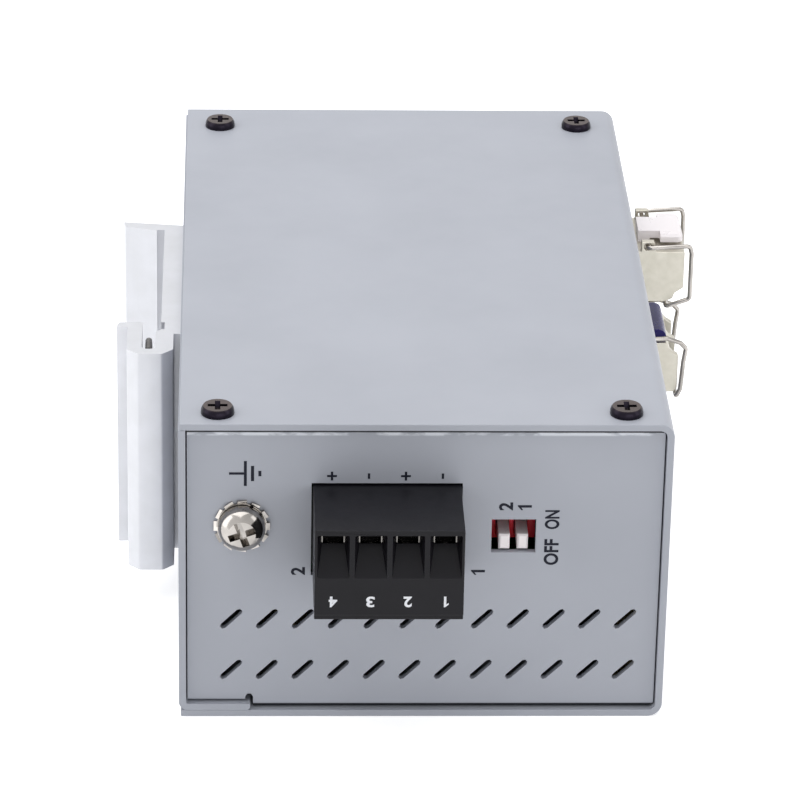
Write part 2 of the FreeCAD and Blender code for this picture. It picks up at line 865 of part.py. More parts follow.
def head_screw(label, outline, shank_major, length, head_rise, head_radius, recess_deep):
    """A screw along Z: seat at zero, turned head above, shank below, cross recess."""
    body = new_body(label)
    turned(body, outline, "head")
    pad(body, "XY", -length, 0.1, lambda sk: polygon(
        sk, corner_ring(dim(0.0), dim(0.0), shank_major / 2, 8)), "shank")
    pocket(body, "XY", head_rise - recess_deep, head_rise + 0.1,
           lambda sk: cross(sk, head_radius * 0.46, head_radius * 0.13), "recess")
    return body


lid_screws = []
lid_head = screw_head / 2
lid_outline = [
    (0.0, 0.0), (lid_head, 0.0), (lid_head, screw_head_rise * 0.68),
    (lid_head * 0.86, screw_head_rise), (0.0, screw_head_rise)]
for u, v in screw_spots:
    screw = head_screw("lid_screw", lid_outline, screw_major, screw_length, screw_head_rise, lid_head,
                       screw_head_rise * 0.62)
    lid_screws.append(move(screw, u, v, box_width))
node(group("cover_screws", lid_screws), "cover_screws")

# Ground screw on the end panel, with a toothed washer and a clinch nut inside
dome = ground_head / 2
dome_outline = [
    (0.0, 0.0), (dome, 0.0), (dome, ground_head_rise * 0.30), (dome * 0.93, ground_head_rise * 0.60),
    (dome * 0.76, ground_head_rise * 0.84), (dome * 0.50, ground_head_rise), (0.0, ground_head_rise)]
ground = head_screw("ground_screw", dome_outline, ground_major, ground_length, ground_head_rise, dome,
                    ground_head_rise * 0.55)
ground.Placement = FreeCAD.Placement(V(0, 0, 0), FreeCAD.Rotation(V(1, 0, 0), 90))
node(move(ground, ground_x, panel_face - washer_thick, ground_up), "ground_screw")

washer = new_body("ground_washer")
washer_rim = washer_across / 2
tooth_root = washer_rim * 0.86
tooth_half = washer_rim * 0.07


def washer_ring(sk):
    circle(sk, 0.0, 0.0, washer_rim)
    flats(sk, 0.0, 0.0, ground_major + 2 * screw_fit)


pad(washer, "XY", 0.0, washer_thick, washer_ring, "ring")
tooth_gap = pocket(washer, "XY", -0.1, washer_thick + 0.1, lambda sk: polygon(sk, [
    (tooth_root, -tooth_half), (washer_rim * 1.1, -tooth_half * 2),
    (washer_rim * 1.1, tooth_half * 2), (tooth_root, tooth_half)]), "gap")
teeth = washer.newObject("PartDesign::PolarPattern", "teeth")
teeth.Originals = [tooth_gap]
teeth.Axis = (origin_item(washer, "Z_Axis"), [""])
teeth.Angle = 360
bind(teeth, "Occurrences", washer_teeth)
washer.Tip = teeth
washer.Placement = FreeCAD.Placement(V(0, 0, 0), FreeCAD.Rotation(V(1, 0, 0), 90))
node(move(washer, ground_x, panel_face, ground_up), "ground_washer")

nut_body = solid_prism("nut_body", "y", ground_x, panel_rear, ground_up, nut_across, nut_rise)
nut_bore = solid_prism("nut_bore", "y", ground_x, panel_rear - 0.5, ground_up,
                       ground_major + screw_fit, nut_rise + 1.0, 8)
node(cut("ground_nut", nut_body, nut_bore), "ground_nut")

# ---------------------------------------------------------------- power header
header_half = nose_wide / 2 + pin_gap + header_wall
header_low = plug_up - nose_tall / 2 - pin_gap - header_wall
header_mouth = panel_rear
header_floor = header_mouth + nose_reach + pin_gap
header_end = header_floor + header_back
header = new_body("terminal_header")
pad(header, "XZ", header_mouth, header_end, lambda sk: rectangle(
    sk, plug_x - header_half, plug_x + header_half, header_low, upper_under), "block")
pocket(header, "XZ", header_mouth - 0.5, header_floor, lambda sk: rectangle(
    sk, plug_x - nose_wide / 2 - pin_gap, plug_x + nose_wide / 2 + pin_gap,
    plug_up - nose_tall / 2 - pin_gap, plug_up + nose_tall / 2 + pin_gap), "mouth")
first_pole = plug_x - (pole_count - 1) * pole_pitch / 2
pin_hole = pocket(header, "XZ", header_floor - 0.5, header_end + 0.5, lambda sk: rectangle(
    sk, first_pole - pin_wide / 2, first_pole + pin_wide / 2,
    plug_up - pin_wide / 2, plug_up + pin_wide / 2), "pin_hole")
pattern(header, [pin_hole], "X", pole_pitch, pole_count)
node(header, "terminal_header")

pins = []
pin_start = header_mouth + pin_set_back
for i in range(int(pole_count.value)):
    pole_x = first_pole + i * pole_pitch
    run = solid_box("pin_run", pole_x - pin_wide / 2, pole_x + pin_wide / 2,
                    pin_start, header_end + pin_wide, plug_up - pin_wide / 2, plug_up + pin_wide / 2)
    tail = solid_box("pin_tail", pole_x - pin_wide / 2, pole_x + pin_wide / 2,
                     header_end, header_end + pin_wide, plug_up - pin_wide / 2, board_top + solder_reach)
    pins.append(fuse("pin", [run, tail]))
node(group("header_pins", pins), "header_pins")

# ---------------------------------------------------------------- power plug
plug_front = panel_face - plug_reach
plug_left = plug_x - plug_wide / 2
plug_right = plug_x + plug_wide / 2
plug_low = plug_up - plug_tall / 2
plug_high = plug_up + plug_tall / 2
plug = new_body("plug_block")


def plug_side(sk):
    polygon(sk, [
        (plug_front, plug_low + plug_lip), (plug_front, plug_high), (header_mouth, plug_high),
        (header_mouth, plug_up + nose_tall / 2), (header_mouth + nose_reach, plug_up + nose_tall / 2),
        (header_mouth + nose_reach, plug_up - nose_tall / 2), (header_mouth, plug_up - nose_tall / 2),
        (header_mouth, plug_low), (plug_front + plug_step, plug_low),
        (plug_front + plug_step, plug_low + plug_lip)])


plug_block = pad(plug, "YZ", plug_left, plug_right, plug_side, "block")


def nose_trim(sk):
    rectangle(sk, plug_left - 1.0, plug_left + nose_inset, plug_low, plug_high)
    rectangle(sk, plug_right - nose_inset, plug_right + 1.0, plug_low, plug_high)


pocket(plug, "XZ", header_mouth, header_mouth + nose_reach + 1.0, nose_trim, "nose_sides")
entry_wide = pole_pitch - entry_wall
entry_top = plug_high - entry_drop
entry_low = entry_top - entry_tall
entry_mid = entry_top - entry_hole
cage_wide = pole_pitch - entry_wall - 2 * cage_inset
chamber_front = plug_front + entry_deep
chamber_rear = chamber_front + cage_long + 2 * cage_gap
chamber_high = entry_top + cage_gap
chamber_low = chamber_high - cage_tall - 2 * cage_gap
chamber_half = cage_wide / 2 + cage_gap
chamber = pocket(plug, "YZ", first_pole - chamber_half, first_pole + chamber_half, lambda sk: rectangle(
    sk, chamber_front - 0.01, chamber_rear, chamber_low, chamber_high), "chamber")
clamp_y = chamber_front + cage_gap + cage_long / 2
access = pocket(plug, "XY", plug_low - 0.5, chamber_low + 0.2, lambda sk: flats(
    sk, first_pole, clamp_y, clamp_head + 2 * cage_gap, 12), "screw_access")
socket = pocket(plug, "XZ", pin_start - 0.8, header_mouth + nose_reach + 0.5, lambda sk: rectangle(
    sk, first_pole - pin_wide / 2 - pin_gap, first_pole + pin_wide / 2 + pin_gap,
    plug_up - pin_wide / 2 - pin_gap, plug_up + pin_wide / 2 + pin_gap), "pin_socket")
pattern(plug, [chamber, access, socket], "X", pole_pitch, pole_count)

cages = []
clamps = []
funnels = []
for i in range(int(pole_count.value)):
    pole_x = first_pole + i * pole_pitch
    funnel = doc.addObject("Part::Wedge", "wire_funnel")
    bind(funnel, "Xmin", pole_x - entry_wide / 2)
    bind(funnel, "Xmax", pole_x + entry_wide / 2)
    bind(funnel, "X2min", pole_x - entry_wide / 2 + entry_taper)
    bind(funnel, "X2max", pole_x + entry_wide / 2 - entry_taper)
    bind(funnel, "Zmin", entry_low)
    bind(funnel, "Zmax", entry_top)
    bind(funnel, "Z2min", entry_mid)
    bind(funnel, "Z2max", entry_top)
    bind(funnel, "Ymin", plug_front)
    bind(funnel, "Ymax", chamber_front)
    funnels.append(funnel)
    y0 = chamber_front + cage_gap
    y1 = y0 + cage_long
    z0 = chamber_low + cage_gap
    z1 = z0 + cage_tall
    outer = solid_box("cage_outer", pole_x - cage_wide / 2, pole_x + cage_wide / 2, y0, y1, z0, z1)
    inner = solid_box("cage_inner", pole_x - cage_wide / 2 + cage_wall, pole_x + cage_wide / 2 - cage_wall,
                      y0 - 1.0, y1 + 1.0, z0 + cage_floor, z1 - cage_wall)
    tapped = solid_prism("cage_tapping", "z", pole_x, clamp_y, z0 - 0.5,
                         clamp_major + cage_gap, cage_floor + 1.0, 12)
    cages.append(cut("cage", outer, fuse("cage_hollow", [inner, tapped])))
    clamp_low = plug_low + clamp_sink
    shank = solid_prism("clamp_shank", "z", pole_x, clamp_y, clamp_low, clamp_major * math.cos(math.pi / 12),
                        z0 + cage_floor + clamp_rise - clamp_low, 12)
    cap = solid_prism("clamp_cap", "z", pole_x, clamp_y, clamp_low, clamp_head * math.cos(math.pi / 12),
                      chamber_low - clamp_low - cage_gap, 12)
    slot = solid_box("clamp_slot", pole_x - clamp_head, pole_x + clamp_head, clamp_y - clamp_slot / 2,
                     clamp_y + clamp_slot / 2, plug_low, clamp_low + clamp_slot)
    clamps.append(cut("clamp", fuse("clamp_body", [shank, cap]), slot))
node(cut("terminal_plug", plug, group("wire_funnels", funnels)), "terminal_plug")
node(group("plug_cages", cages), "plug_cages")
node(group("plug_screws", clamps), "plug_screws")

# ---------------------------------------------------------------- setting switches
dip_half = window_wide / 2 + dip_lap
cover_low = window_low - dip_under_lap
cover_high = window_low + window_tall + dip_over_lap
cover_front = panel_rear + dip_set_back
cover_rear = cover_front + dip_cover_deep
lever_low = window_low + window_rise
lever_tip = panel_face + lever_set_back
lever_first = window_x - lever_pitch / 2
lever_names = ("dip_lever_2", "dip_lever_1")
cover = new_body("dip_cover")
pad(cover, "XZ", cover_front, cover_rear, lambda sk: rectangle(
    sk, window_x - dip_half, window_x + dip_half, cover_low, cover_high), "block")
lever_slot = pocket(cover, "XZ", cover_front - 0.5, cover_rear + 0.5, lambda sk: rectangle(
    sk, lever_first - lever_wide / 2 - lever_gap, lever_first + lever_wide / 2 + lever_gap,
    lever_low - lever_gap, lever_low + lever_tall + lever_travel + lever_gap), "lever_slot")
pattern(cover, [lever_slot], "X", lever_pitch, len(lever_names))
node(cover, "dip_cover")
base_rear = cover_rear + dip_base_deep
node(solid_box("dip_base", window_x - dip_half, window_x + dip_half, cover_rear, base_rear,
               cover_low - dip_base_drop, upper_under), "dip_base")
for i, label in enumerate(lever_names):
    lever_x = lever_first + i * lever_pitch
    lever = new_body(label)
    bar = pad(lever, "XY", lever_low, lever_low + lever_tall, lambda sk: rectangle(
        sk, lever_x - lever_wide / 2, lever_x + lever_wide / 2, lever_tip, cover_rear - lever_gap), "bar")
    soften(lever, bar, lever_edge, lambda mid, run, edge: close(mid.y, lever_tip), "Chamfer")
    node(lever, label)

# ---------------------------------------------------------------- boards
board_rear = back - clip_web + clip_screw_length + board_margin
board_front = front_in - board_margin / 2
board_near = panel_rear + board_margin
board_far = end_far - sheet_thick - board_margin
far_post_y = near + post_end - post_across / 2
post_spots = [
    (back + post_rear, near + jack_start + post_near), (back + post_rear, far_post_y),
    (front - post_front, panel_rear + post_corner), (front - post_front, far_post_y)]
pin_spots = []
for i in range(int(pole_count.value)):
    pin_spots.append((first_pole + i * pole_pitch, header_end + pin_wide / 2))
for label, under in (("upper_board", upper_under), ("lower_board", lower_under)):
    board = new_body(label)
    pad(board, "XY", under, under + board_thick, lambda sk: rectangle(
        sk, board_rear, board_front, board_near, board_far), "blank")

    def board_holes(sk):
        for u, v in post_spots:
            flats(sk, u, v, post_major + 2 * post_fit)
        if label == "upper_board":
            for u, v in pin_spots:
                pin_half = pin_wide * 0.6
                rectangle(sk, u - pin_half, u + pin_half, v - pin_half, v + pin_half)

    pocket(board, "XY", under - 0.5, under + board_thick + 0.5, board_holes, "holes")
    node(board, label)

lower_posts = []
spacers = []
board_screws = []
stud_size = post_major * math.cos(math.pi / 8)
for u, v in post_spots:
    stem = solid_prism("post", "z", u, v, floor_top, post_across, post_tall)
    tap = solid_prism("post_tap", "z", u, v, lower_under - stud_drop - stud_gap,
                      post_major + post_fit, stud_drop + 1.0, 8)
    lower_posts.append(cut("lower_post", stem, tap))
    stem = solid_prism("spacer", "z", u, v, lower_under + board_thick,
                       post_across, module_pitch - board_thick)
    tap = solid_prism("spacer_tap", "z", u, v, upper_under - stud_drop - stud_gap,
                      post_major + post_fit, stud_drop + 1.0, 8)
    stud = solid_prism("spacer_stud", "z", u, v, lower_under - stud_drop, stud_size,
                       stud_drop + board_thick + stud_gap, 8)
    spacers.append(fuse("spacer_whole", [cut("spacer_tube", stem, tap), stud]))
    cap = solid_prism("board_screw_head", "z", u, v, board_top, post_across, board_head)
    shank = solid_prism("board_screw_shank", "z", u, v, upper_under - stud_drop + stud_gap, stud_size,
                        board_thick + stud_drop, 8)
    board_screws.append(fuse("board_screw", [cap, shank]))
node(group("lower_standoffs", lower_posts), "lower_standoffs")
node(group("board_spacers", spacers), "board_spacers")
node(group("board_screws", board_screws), "board_screws")

# ---------------------------------------------------------------- optical modules
module_rear = front - module_long
module_tip = front + module_nose
shell_end = front + nose_start
pivot_x = front + bail_pivot_out
half_module = module_wide / 2
rise = module_tall / 2
RING_SIDES = 8
BEND_STEPS = 3


def bend_points(points, radius):
    """The corners of a path, each replaced by short straight steps on its bend."""
    path = [points[0]]
    for i in range(1, len(points) - 1):
        corner = points[i]
        back_way = points[i - 1] - corner
        out_way = points[i + 1] - corner
        back_way.normalize()
        out_way.normalize()
        turn = math.pi - back_way.getAngle(out_way)
        reach = radius * math.tan(turn / 2)
        inward = back_way + out_way
        inward.normalize()
        centre = corner + inward * (radius / math.cos(turn / 2))
        first = corner + back_way * reach - centre
        last = corner + out_way * reach - centre
        for step in range(BEND_STEPS + 1):
            share = step / BEND_STEPS
            spoke = first * math.sin((1 - share) * turn) + last * math.sin(share * turn)
            path.append(centre + spoke * (1 / math.sin(turn)))
    path.append(points[-1])
    return path


def bent_wire(label, points, radius, wire):
    """A wire of eight flats along a path with bent corners, as one solid."""
    path = bend_points(points, radius)
    ways = []
    for a, b in zip(path, path[1:]):
        way = b - a
        way.normalize()
        ways.append(way)
    side = ways[0].cross(V(0.3, 0.5, 0.8))
    side.normalize()
    other = ways[0].cross(side)
    reach = wire / 2
    ring = []
    for k in range(RING_SIDES):
        angle = 2 * math.pi * (k + 0.5) / RING_SIDES
        ring.append(path[0] + side * (reach * math.cos(angle)) + other * (reach * math.sin(angle)))
    rings = [ring]
    for i, way in enumerate(ways):
        cut_normal = way if i + 1 == len(ways) else way + ways[i + 1]
        ring = [p + way * ((path[i + 1] - p).dot(cut_normal) / way.dot(cut_normal)) for p in ring]
        rings.append(ring)
    faces = [Part.Face(Part.makePolygon(ring + ring[:1])) for ring in (rings[0], rings[-1])]
    for one, two in zip(rings, rings[1:]):
        for k in range(RING_SIDES):
            after = (k + 1) % RING_SIDES
            faces.append(Part.Face(Part.makePolygon([one[k], one[after], two[after], two[k], one[k]])))
    shell_of_wire = Part.makeShell(faces)
    solid = Part.makeSolid(shell_of_wire)
    if solid.Volume < 0:
        solid.reverse()
    feature = doc.addObject("Part::Feature", label)
    feature.Shape = solid
    return feature


# Side view of each nose, clockwise from the low rear corner, and of each bail
# as it hangs shut: steps out from the pivot and down from it.
nose_sides = {
    "upper": (module_tip, [
        (-chin_back, 0.0), (-chin_step_back, chin_step_rise),
        (-chin_top_back, chin_top_rise), (0.0, chin_rise)],
        [(0.0, 0.0)]),
    "lower": (module_tip - lower_nose_short, [
        (-foot_bevel, 0.0), (0.0, foot_bevel * 1.4)],
        [(0.0, -brow_drop), (-brow_low_back, -brow_low_drop),
         (-brow_high_back, -brow_high_drop), (-brow_back, 0.0)]),
}
bail_bar_drop = bail_pivot_rise + module_tall + bail_clear + bail_wire / 2
bail_out = module_tip - pivot_x + bail_front_gap + bail_wire / 2
bail_sides = {
    "upper": [
        (bail_out - upper_bail_lean, upper_bail_rise), (bail_out, upper_bail_rise * -2),
        (bail_out, upper_bail_tuck - bail_bar_drop), (upper_bar_out, -bail_bar_drop)],
    "lower": [
        (lower_bail_flat, upper_bail_rise / 2), (lower_bail_slope, -lower_bail_fall),
        (lower_bail_knee, -lower_knee_drop), (lower_shin_out, -lower_shin_drop),
        (lower_shin_out - upper_bail_lean, upper_bail_tuck - bail_bar_drop),
        (lower_bar_out, -bail_bar_drop)],
}

for name, level in (("upper", module_levels[0]), ("lower", module_levels[1])):
    top = level + rise
    low = level - rise

    # Cage: a folded metal sleeve that hangs under its board
    cage = new_body(name + "_module_cage")
    cage_half = cage_wide_out / 2
    cage_rise = cage_tall_out / 2
    pad(cage, "YZ", module_rear - cage_rear, front + cage_lip, lambda sk: rectangle(
        sk, module_y - cage_half, module_y + cage_half, level - cage_rise, level + cage_rise), "sleeve")
    pocket(cage, "YZ", module_rear - cage_rear + cage_sheet, front + cage_lip + 1.0, lambda sk: rectangle(
        sk, module_y - half_module - module_gap, module_y + half_module + module_gap,
        level - rise - module_gap, level + rise + module_gap), "hollow")
    node(cage, name + "_module_cage")

    # Module body inside the cage
    barrel = new_body(name + "_module_body")
    block = pad(barrel, "YZ", module_rear, shell_end, lambda sk: rectangle(
        sk, module_y - half_module, module_y + half_module, low, top), "barrel")
    soften(barrel, block, module_edge, lambda mid, run, edge: along_x(run), "Chamfer")
    node(barrel, name + "_module_body")

    # Nose: twin connector bores, ears for the bail, a relief for its crossbar
    nose = new_body(name + "_module_nose")
    tip, chin, brow = nose_sides[name]

    def nose_side(sk):
        outline = [(shell_end, low)]
        for u, v in chin:
            outline.append((tip + u, low + v))
        for u, v in brow:
            outline.append((tip + u, top + v))
        outline.append((shell_end, top))
        polygon(sk, outline)

    pad(nose, "XZ", module_y - half_module, module_y + half_module, nose_side, "block")

    def ear_side(sk):
        polygon(sk, [
            (pivot_x - ear_long / 2, top - 0.2), (pivot_x + ear_long * 0.7, top - 0.2),
            (pivot_x + ear_long / 2, top + ear_rise), (pivot_x - ear_long / 2, top + ear_rise)])

    for side in (-1, 1):
        edge_a = module_y + side * half_module
        edge_b = module_y + side * (half_module - ear_thick)
        y_low, y_high = (edge_a, edge_b) if side < 0 else (edge_b, edge_a)
        pad(nose, "XZ", y_low, y_high, ear_side, "ear")
    pocket(nose, "XZ", module_y - half_module - 0.5, module_y + half_module + 0.5, lambda sk: flats(
        sk, pivot_x, top + bail_pivot_rise, bail_wire + 2 * bail_gap), "pivot_hole")
    bore_floor = tip - bore_deep

    def bores(sk):
        for side in (-0.5, 0.5):
            mid = module_y + side * bore_pitch
            rectangle(sk, mid - bore_wide / 2, mid + bore_wide / 2,
                      level - bore_tall / 2, level + bore_tall / 2)

    pocket(nose, "YZ", bore_floor, tip + 1.0, bores, "bores")

    def ferrules(sk):
        for side in (-0.5, 0.5):
            flats(sk, module_y + side * bore_pitch, level, ferrule, 12)

    pad(nose, "YZ", bore_floor - 0.1, bore_floor + ferrule_long, ferrules, "ferrules")
    node(nose, name + "_module_nose")

    # Bail: one bent wire that turns in the ears and wraps round the nose
    out = (half_module + bail_wire / 2 + bail_gap).value
    inside = (half_module - ear_thick * 0.8).value
    mid_y = module_y.value
    pivot = V(pivot_x.value, 0, (top + bail_pivot_rise).value)
    side_line = [V(0, 0, 0)]
    for x, z in bail_sides[name]:
        side_line.append(V(dim(x).value, 0, dim(z).value))
    bail_points = [pivot + V(0, mid_y - inside, 0)]
    bail_points += [pivot + spot + V(0, mid_y - out, 0) for spot in side_line]
    bail_points += [pivot + spot + V(0, mid_y + out, 0) for spot in reversed(side_line)]
    bail_points.append(pivot + V(0, mid_y + inside, 0))
    bail = bent_wire(name + "_bail", bail_points, bail_bend.value, bail_wire.value)
    node(bail, name + "_bail")

# Latch tabs on the modules' upper faces
upper_top = module_levels[0] + rise
tab = new_body("upper_latch_tab")
tab_under = upper_top + latch_rise
tab_rear = pivot_x - latch_back
tab_step = pivot_x + latch_neck
tab_front = pivot_x + latch_reach
tab_half = latch_wide / 2
paddle_half = latch_paddle / 2


def tab_outline(sk):
    polygon(sk, [
        (tab_rear, module_y - tab_half), (tab_step, module_y - tab_half),
        (tab_step, module_y - paddle_half), (tab_front, module_y - paddle_half),
        (tab_front, module_y + paddle_half), (tab_step, module_y + paddle_half),
        (tab_step, module_y + tab_half), (tab_rear, module_y + tab_half)])


plate = pad(tab, "XY", tab_under, tab_under + latch_thick, tab_outline, "plate")
plate = soften(tab, plate, latch_corner, any_of(
    line_at("z", tab_front, module_y - paddle_half), line_at("z", tab_front, module_y + paddle_half)))
foot = pad(tab, "XY", upper_top, tab_under + 0.1, lambda sk: rectangle(
    sk, tab_rear, tab_rear + latch_foot, module_y - tab_half, module_y + tab_half), "foot")
soften(tab, foot, latch_edge, lambda mid, run, edge: (
    close(mid.z, tab_under + latch_thick) and close(mid.x, tab_front)), "Chamfer")
node(tab, "upper_latch_tab")

lower_top = module_levels[1] + rise
grip = new_body("lower_latch_tab")
grip_half = half_module - ear_thick - grip_gap
grip_front = pivot_x + grip_reach
grip_block = pad(grip, "XZ", module_y - grip_half, module_y + grip_half, lambda sk: polygon(sk, [
    (tab_rear, lower_top), (grip_front, lower_top), (grip_front, lower_top + grip_rise / 2),
    (grip_front - grip_rise / 2, lower_top + grip_rise), (tab_rear, lower_top + grip_rise)]), "block")
soften(grip, grip_block, latch_edge, lambda mid, run, edge: (
    along_y(run) and mid.z > lower_top.value + 0.2), "Chamfer")
node(grip, "lower_latch_tab")

# ---------------------------------------------------------------- copper ports
jack_front = front + jack_lip
jack_first = jack_y - (jack_count - 1) * jack_pitch / 2
port_back = jack_front - port_deep
for name, under in (("upper", upper_under), ("lower", lower_under)):
    jacks = new_body(name + "_jack_row")
    jack_low = under - jack_tall
    pad(jacks, "YZ", front - jack_deep, jack_front, lambda sk: rectangle(
        sk, jack_y - jack_row_long / 2, jack_y + jack_row_long / 2, jack_low, under), "block")
    port_low = jack_low + port_floor + notch_tall

    def port_outline(sk):
        half = port_wide / 2
        ledge = notch_wide / 2
        low, high = port_low, port_low + port_tall
        polygon(sk, [
            (jack_first - half, low), (jack_first - ledge, low), (jack_first - ledge, low - notch_tall),
            (jack_first + ledge, low - notch_tall), (jack_first + ledge, low), (jack_first + half, low),
            (jack_first + half, high), (jack_first - half, high)])

    port = pocket(jacks, "YZ", port_back, jack_front + 0.5, port_outline, "port")
    pattern(jacks, [port], "Y", jack_pitch, jack_count)
    node(jacks, name + "_jack_row")
    contacts = []
    contact_low = port_low + port_tall - contact_drop - contact_thick
    for i in range(int(jack_count.value)):
        for k in range(int(contact_count.value)):
            contact_y = jack_first + i * jack_pitch + (k - (contact_count - 1) / 2) * contact_pitch
            contacts.append(solid_box(
                "contact", port_back, port_back + contact_long,
                contact_y - contact_thick / 2, contact_y + contact_thick / 2,
                contact_low, contact_low + contact_thick))
    node(group(name + "_jack_contacts", contacts), name + "_jack_contacts")

lights = []
light_front = front + light_proud
for level in light_levels:
    lights.append(solid_box("light", light_front - light_long, light_front, light_y - light_wide / 2,
                            light_y + light_wide / 2, level - light_tall / 2, level + light_tall / 2))
node(group("status_lights", lights), "status_lights")

# ---------------------------------------------------------------- rail clip
# One extruded profile: fixed hook at the far end, spring slot at the near end.
clip = new_body("rail_clip_profile")
clip_low = middle - clip_long / 2
clip_high = middle + clip_long / 2
web_face = back - clip_web
slot_inner = web_face - slot_inset
slot_outer = slot_inner - slot_across
lip_inner = slot_outer - clip_lip_wall
clip_reach = lip_inner - clip_lip_reach
lip_under = clip_lip - clip_lip_thick
foot_line = back - clip_foot_gap
hook_end = web_face - hook_reach


def clip_outline(sk):
    polygon(sk, [
        (back, clip_seat), (back, hook_back), (hook_end, hook_back + hook_flare),
        (hook_end + hook_flat, hook_tip + hook_wall), (web_face - hook_lip, hook_tip),
        (web_face - hook_lip, hook_pocket), (web_face, hook_pocket),
        (web_face, clip_seat + slot_lead), (slot_inner, clip_seat + slot_lead - slot_bevel),
        (slot_inner, slot_floor + slot_bevel), (slot_inner - slot_bevel, slot_floor),
        (slot_outer + slot_bevel, slot_floor), (slot_outer, slot_floor + slot_bevel),
        (slot_outer, clip_lip), (clip_reach + clip_nib, clip_lip),
        (clip_reach, clip_lip - clip_nib * 3), (clip_reach, lip_under),
        (lip_inner, lip_under), (lip_inner, clip_near + clip_corner),
        (lip_inner + clip_corner, clip_near), (foot_line - clip_corner, clip_near),
        (foot_line, clip_near + clip_corner), (foot_line, clip_seat)])


pad(clip, "XY", clip_low, clip_high, clip_outline, "extrusion")
notch_y = clip_lip - spring_notch_long
pocket(clip, "XY", clip_high - spring_notch_deep, clip_high + 0.5, lambda sk: rectangle(
    sk, web_face, web_face + spring_notch_wide, notch_y, clip_lip), "end_notch")
sinks = []
clip_screws = []
clip_nuts = []
head_deep = (clip_screw_head - clip_screw_major) / 2
cross_half = clip_screw_head * 0.27
cross_bar = clip_screw_head * 0.0625
for v in clip_screw_spots:
    bore = solid_prism("screw_bore", "x", web_face - 0.5, v, middle,
                       clip_screw_major + 2 * screw_fit, clip_web + 1.0, 8)
    sink = solid_cone("countersink", "x", web_face, v, middle, clip_screw_head / 2 + screw_fit,
                      clip_screw_major / 2 + screw_fit, head_deep)
    sinks += [bore, sink]
    head = solid_cone("sunk_head", "x", web_face, v, middle,
                      clip_screw_head / 2, clip_screw_major / 2, head_deep)
    shank = solid_prism("sunk_shank", "x", web_face, v, middle, clip_screw_major * math.cos(math.pi / 8),
                        clip_screw_length, 8)
    whole_screw = fuse("sunk_screw", [head, shank])
    recess_end = web_face + head_deep * 0.75
    bars = fuse("sunk_cross", [
        solid_box("cross_a", web_face - 0.1, recess_end, v - cross_half, v + cross_half,
                  middle - cross_bar, middle + cross_bar),
        solid_box("cross_b", web_face - 0.1, recess_end, v - cross_bar, v + cross_bar,
                  middle - cross_half, middle + cross_half)])
    clip_screws.append(cut("clip_screw", whole_screw, bars))
    nut_flats = solid_prism("nut_flats", "x", rear_in, v, middle, clip_nut, clip_nut_thick)
    nut_hole = solid_prism("nut_hole", "x", rear_in - 0.5, v, middle, clip_screw_major + screw_fit,
                           clip_nut_thick + 1.0, 8)
    clip_nuts.append(cut("clip_nut", nut_flats, nut_hole))
node(cut("rail_clip", clip, fuse("clip_holes", sinks)), "rail_clip")
node(group("clip_screws", clip_screws), "clip_screws")
node(group("clip_nuts", clip_nuts), "clip_nuts")

# Spring wire in the slot: two short arms and the run that the rail pushes on
spring_x = ((slot_inner + slot_outer) / 2).value
arm_y = (slot_floor + spring_wire / 2 + spring_foot).value
run_y = arm_y + spring_arm.value
spring_high = (clip_high - spring_wire / 2 - spring_inset).value
spring_low = (clip_low + spring_wire / 2 + spring_inset).value
spring_points = [
    V(spring_x, arm_y, spring_high), V(spring_x, run_y, spring_high),
    V(spring_x, run_y, spring_low), V(spring_x, arm_y, spring_low)]
node(bent_wire("clip_spring", spring_points, spring_wire.value * 1.1, spring_wire.value), "clip_spring")

# ---------------------------------------------------------------- check and write
doc.recompute()
for obj in doc.Objects:
    if "Invalid" in obj.State or "Error" in obj.State:
        raise RuntimeError("%s is %s" % (obj.Label, obj.State))
os.makedirs("parts", exist_ok=True)
for piece in nodes:
    shape = piece.Shape
    if shape.isNull() or not shape.isValid():
        raise RuntimeError(piece.Label + " has no valid shape")
    if not shape.Solids:
        raise RuntimeError(piece.Label + " has no solid")
    shape.exportStep(os.path.join("parts", piece.Label + ".step"))
    box = shape.BoundBox
    print("%-22s solids %2d  volume %9.2f  x %7.2f %7.2f  y %7.2f %7.2f  z %7.2f %7.2f" % (
        piece.Label, len(shape.Solids), shape.Volume,
        box.XMin, box.XMax, box.YMin, box.YMax, box.ZMin, box.ZMax))
print(len(nodes), "pieces")
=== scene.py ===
import json
import math

import bmesh
import bpy
from mathutils import Matrix, Vector


